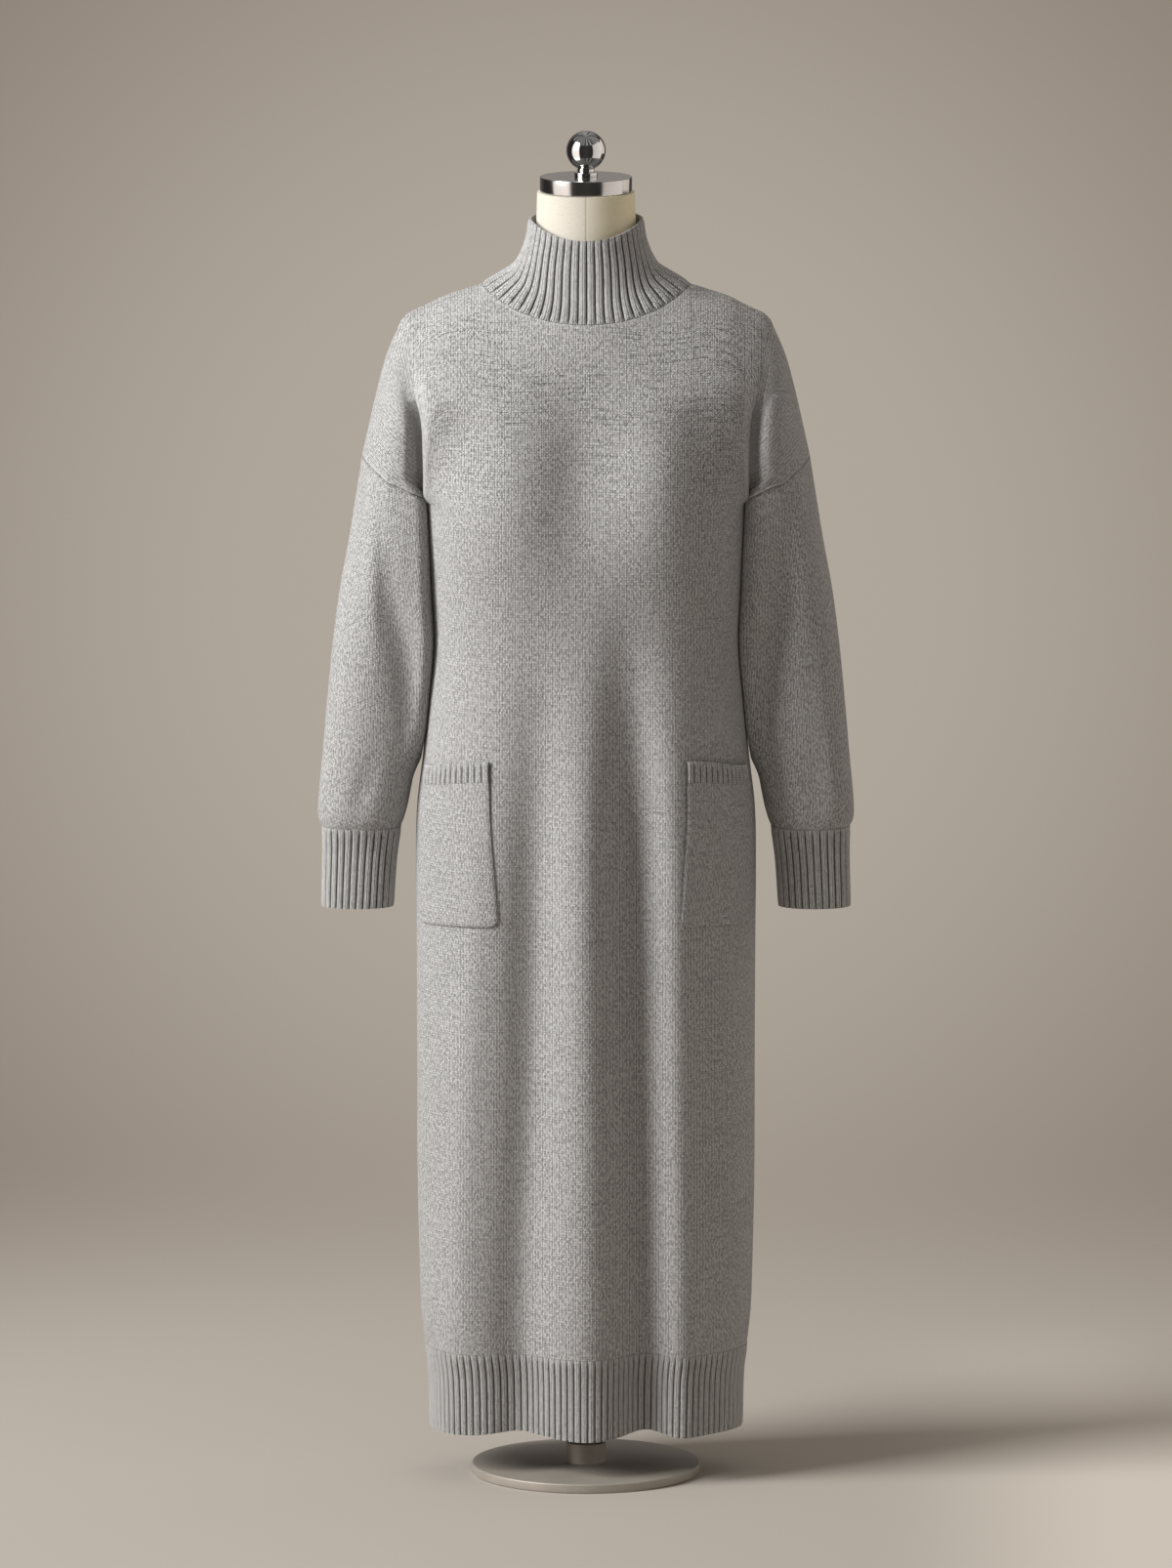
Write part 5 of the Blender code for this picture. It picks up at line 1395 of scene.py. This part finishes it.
class OBJECT_OT_dress_stand(bpy.types.Operator):
    """Turn the pole and its round base"""

    bl_idname = "object.dress_stand"
    bl_label = "Stand"

    def execute(self, context):
        facets = context.scene.dress_form.facets
        # The pole and base are real; their dark taupe is painted shade, the colour of the shadow
        # under the hem.
        paint = bpy.data.materials["taupe_paint"]
        clear_selection()
        bpy.ops.mesh.primitive_cylinder_add(vertices=facets, radius=BASE_RADIUS,
                                            depth=BASE_THICKNESS,
                                            location=(0, 0, BASE_THICKNESS / 2))
        base = edit_last(context, "round_base", paint)
        bpy.ops.object.mode_set(mode="EDIT")
        select_faces(base, lambda middle, normal: normal.z > 0.9)
        bpy.ops.mesh.inset(thickness=BASE_RADIUS - SOCKET_RADIUS, depth=0.0)
        bpy.ops.mesh.extrude_region_move(
            TRANSFORM_OT_translate={"value": (0, 0, SOCKET_TOP - BASE_THICKNESS)})
        bpy.ops.mesh.inset(thickness=0.0016, depth=0.0)
        bpy.ops.object.mode_set(mode="OBJECT")
        bevel_and_settle(base, 0.0020, 4, 30.0)
        clear_selection()
        bpy.ops.mesh.primitive_cylinder_add(vertices=48, radius=POLE_RADIUS,
                                            depth=POLE_HIGH - POLE_LOW,
                                            location=(0, 0, (POLE_HIGH + POLE_LOW) / 2))
        pole = edit_last(context, "slim_pole", paint)
        bevel_and_settle(pole, 0.0008, 3, 40.0)
        for piece, node in ((base, "stand_base"), (pole, "stand_pole")):
            show(piece, node)
        return {"FINISHED"}


class OBJECT_OT_dress_finishes(bpy.types.Operator):
    """Mix the finishes of the wool, the linen, the metals and the paint"""

    bl_idname = "object.dress_finishes"
    bl_label = "Finishes"

    def execute(self, context):
        dress, form = context.scene.dress, context.scene.dress_form
        for old in ("grey_knit", "grey_rib", "linen", "steel", "chrome", "taupe_paint"):
            known = bpy.data.materials.get(old)
            if known is not None:
                known.name = "frame_" + old
        knit_finish("grey_knit", tuple(dress.grey), dress.wale, dress.course, 0.22, 0.0, 0.46)
        ribbed_grey = tuple(part * 1.03 for part in dress.grey)
        knit_finish("grey_rib", ribbed_grey, dress.wale, dress.course, 0.05, 0.56, 0.28)
        linen_finish("linen", tuple(form.linen))
        metal_finish("steel", tuple(form.steel), 0.15, 0.10)
        metal_finish("chrome", tuple(form.chrome), 0.03, 0.0)
        paint_finish("taupe_paint", tuple(form.paint))
        return {"FINISHED"}


def mirror_the_studio(tree, way, back):
    """What polished metal mirrors: a dark room with a tall bright screen at each side."""
    def add(kind, *values, **settings):
        node = tree.nodes.new("ShaderNode" + kind)
        for key, value in settings.items():
            setattr(node, key, value)
        for socket, value in zip(node.inputs, values):
            if isinstance(value, bpy.types.NodeSocket):
                tree.links.new(value, socket)
            elif value is not None:
                socket.default_value = value
        return node

    split = add("SeparateXYZ", way)
    x, y, z = split.outputs
    turn = add("Math", x, add("Math", y, -1.0, operation="MULTIPLY").outputs[0],
               operation="ARCTAN2").outputs[0]
    turn = add("MapRange", turn, -math.pi, math.pi, 0.0, 1.0).outputs[0]
    room = add("ValToRGB", turn)
    steps = room.color_ramp
    steps.interpolation = "LINEAR"
    for place, tone in MIRRORED:
        step = steps.elements.new(place / 360 + 0.5)
        step.color = (tone, tone * 0.93, tone * 0.88, 1.0)
    steps.elements.remove(steps.elements[0])
    steps.elements.remove(steps.elements[-1])
    tall = add("MapRange", z, 0.50, 0.62, 1.0, 0.0, interpolation_type="SMOOTHSTEP").outputs[0]
    fan = add("MapRange", add("TexNoise", None, None, 26.0, 1.0, noise_dimensions="1D").outputs[0],
              0.4, 0.6, 0.04, 0.40).outputs[0]
    tree.links.new(turn, tree.nodes["Noise Texture"].inputs["W"])
    above = add("CombineColor", fan, fan, fan).outputs[0]
    whole = add("Mix", data_type="RGBA")
    for value, name in ((tall, "Factor"), (above, "A"), (room.outputs[0], "B")):
        tree.links.new(value, whole.inputs[name])
    mirror = add("Background", whole.outputs["Result"])
    joined = add("MixShader", add("LightPath").outputs["Is Glossy Ray"])
    tree.links.new(back.outputs[0], joined.inputs[1])
    tree.links.new(mirror.outputs[0], joined.inputs[2])
    tree.links.new(joined.outputs[0], tree.nodes["World Output"].inputs["Surface"])


def light_the_air(world, stage):
    """Even air all round, with a soft pool of light on the backdrop behind the dress."""
    tree = world.node_tree
    back = tree.nodes["Background"]
    way = tree.nodes.new("ShaderNodeTexCoord").outputs["Generated"]
    across = tree.nodes.new("ShaderNodeVectorMath")
    across.operation = "CROSS_PRODUCT"
    tree.links.new(way, across.inputs[0])
    pitch = math.radians(BACKDROP_PITCH)
    across.inputs[1].default_value = (0.0, math.cos(pitch), -math.sin(pitch))
    length = tree.nodes.new("ShaderNodeVectorMath")
    length.operation = "LENGTH"
    tree.links.new(across.outputs[0], length.inputs[0])
    steps = tree.nodes.new("ShaderNodeValToRGB").color_ramp
    tree.links.new(length.outputs["Value"], tree.nodes["Color Ramp"].inputs[0])
    steps.interpolation = "B_SPLINE"
    for place, share in BACKDROP:
        step = steps.elements.new(place)
        step.color = [part * mix(1.0, share, BACKDROP_WARMTH[k])
                      for k, part in enumerate(stage.backdrop)] + [1.0]
    steps.elements.remove(steps.elements[0])
    steps.elements[-1].color = (*stage.air, 1.0)
    tree.links.new(tree.nodes["Color Ramp"].outputs[0], back.inputs["Color"])
    mirror_the_studio(tree, way, back)


class OBJECT_OT_dress_stage(bpy.types.Operator):
    """Set up the floor, the lights and the camera"""

    bl_idname = "object.dress_stage"
    bl_label = "Studio"

    def execute(self, context):
        stage = context.scene.dress_stage
        clear_selection()
        bpy.ops.mesh.primitive_circle_add(vertices=128, radius=FLOOR_RADIUS, fill_type="NGON")
        floor = context.object
        floor.name = "floor"
        made = Finish("floor")
        split = made.add("SeparateXYZ", made.add("TexCoord").outputs["Object"])
        x, y = split.outputs[0], split.outputs[1]
        reach = made.math("SQRT", made.math("ADD", made.math("MULTIPLY", x, x),
                                            made.math("MULTIPLY", y, y)))
        made.set(Roughness=0.9)
        # Painted light: the floor's colour is lighter towards the front right, a painted pool of
        # light that also fades the dress's shadow there.
        far = tuple(part * 1.42 for part in stage.floor)
        lit = made.math("MULTIPLY", made.ramp(x, 0.28, 0.58, 0.0, 1.0),
                        made.ramp(y, 0.2, 0.9, 1.0, 0.0))
        made.join(made.tint(lit, tuple(stage.floor), far), "Base Color")
        made.shader.inputs["Specular IOR Level"].default_value = 0.1
        made.join(made.ramp(reach, 0.55, 2.15, 1.0, 0.0, "SMOOTHERSTEP"), "Alpha")
        floor.data.materials.append(made.material)

        world = bpy.data.worlds.new("studio")
        context.scene.world = world
        world.use_nodes = True
        light_the_air(world, stage)

        for name, colour, size, place, aim, spread in LIGHTS:
            light = bpy.data.lights.new(name, "AREA")
            light.shape = "RECTANGLE"
            light.size, light.size_y = size
            light.energy = getattr(stage, name)
            light.color = colour
            light.spread = math.radians(spread)
            lamp = bpy.data.objects.new(name, light)
            lamp.location = place
            way = Vector((0.0, 0.0, aim)) - lamp.location
            lamp.rotation_euler = way.to_track_quat("-Z", "Y").to_euler()
            context.scene.collection.objects.link(lamp)

        lens = bpy.data.cameras.new("camera")
        lens.lens = CAMERA_LENS
        lens.sensor_width = 36.0
        lens.clip_end = 100.0
        camera = bpy.data.objects.new("camera", lens)
        camera.location = CAMERA_PLACE
        camera.rotation_euler = (math.radians(90 - CAMERA_PITCH), 0.0, 0.0)
        context.scene.collection.objects.link(camera)
        context.scene.camera = camera
        context.scene.view_settings.view_transform = "Standard"
        return {"FINISHED"}


class VIEW3D_PT_dress(bpy.types.Panel):
    """Lists the dress's sizes and the steps that make it"""

    bl_idname = "VIEW3D_PT_dress"
    bl_label = "Sweater dress"
    bl_space_type = "VIEW_3D"
    bl_region_type = "UI"
    bl_category = "Dress"

    def draw(self, context):
        scene = context.scene
        for settings in (scene.dress, scene.dress_form, scene.dress_stage):
            for name in settings.__annotations__:
                self.layout.prop(settings, name)
        for step in STEPS:
            self.layout.operator(step.bl_idname)


STEPS = (
    OBJECT_OT_dress_finishes,
    OBJECT_OT_dress_body,
    OBJECT_OT_dress_sleeves,
    OBJECT_OT_dress_ribs,
    OBJECT_OT_dress_pockets,
    OBJECT_OT_dress_form,
    OBJECT_OT_dress_cap,
    OBJECT_OT_dress_stand,
    OBJECT_OT_dress_stage,
)
SETTINGS = (("dress", DressSettings), ("dress_form", FormSettings), ("dress_stage", StageSettings))


def register():
    """Make the settings, the operators and the panel known."""
    for name, group in SETTINGS:
        bpy.utils.register_class(group)
        setattr(bpy.types.Scene, name, PointerProperty(type=group))
    for step in (*STEPS, VIEW3D_PT_dress):
        bpy.utils.register_class(step)


def unregister():
    """Take them all away again."""
    for step in reversed((*STEPS, VIEW3D_PT_dress)):
        bpy.utils.unregister_class(step)
    for name, group in reversed(SETTINGS):
        delattr(bpy.types.Scene, name)
        bpy.utils.unregister_class(group)


def main():
    """Build the whole dress and its studio."""
    register()
    bpy.ops.object.dress_finishes()
    bpy.ops.object.dress_body()
    bpy.ops.object.dress_sleeves()
    bpy.ops.object.dress_ribs()
    bpy.ops.object.dress_pockets()
    bpy.ops.object.dress_form()
    bpy.ops.object.dress_cap()
    bpy.ops.object.dress_stand()
    bpy.ops.object.dress_stage()


if __name__ == "__main__":
    main()
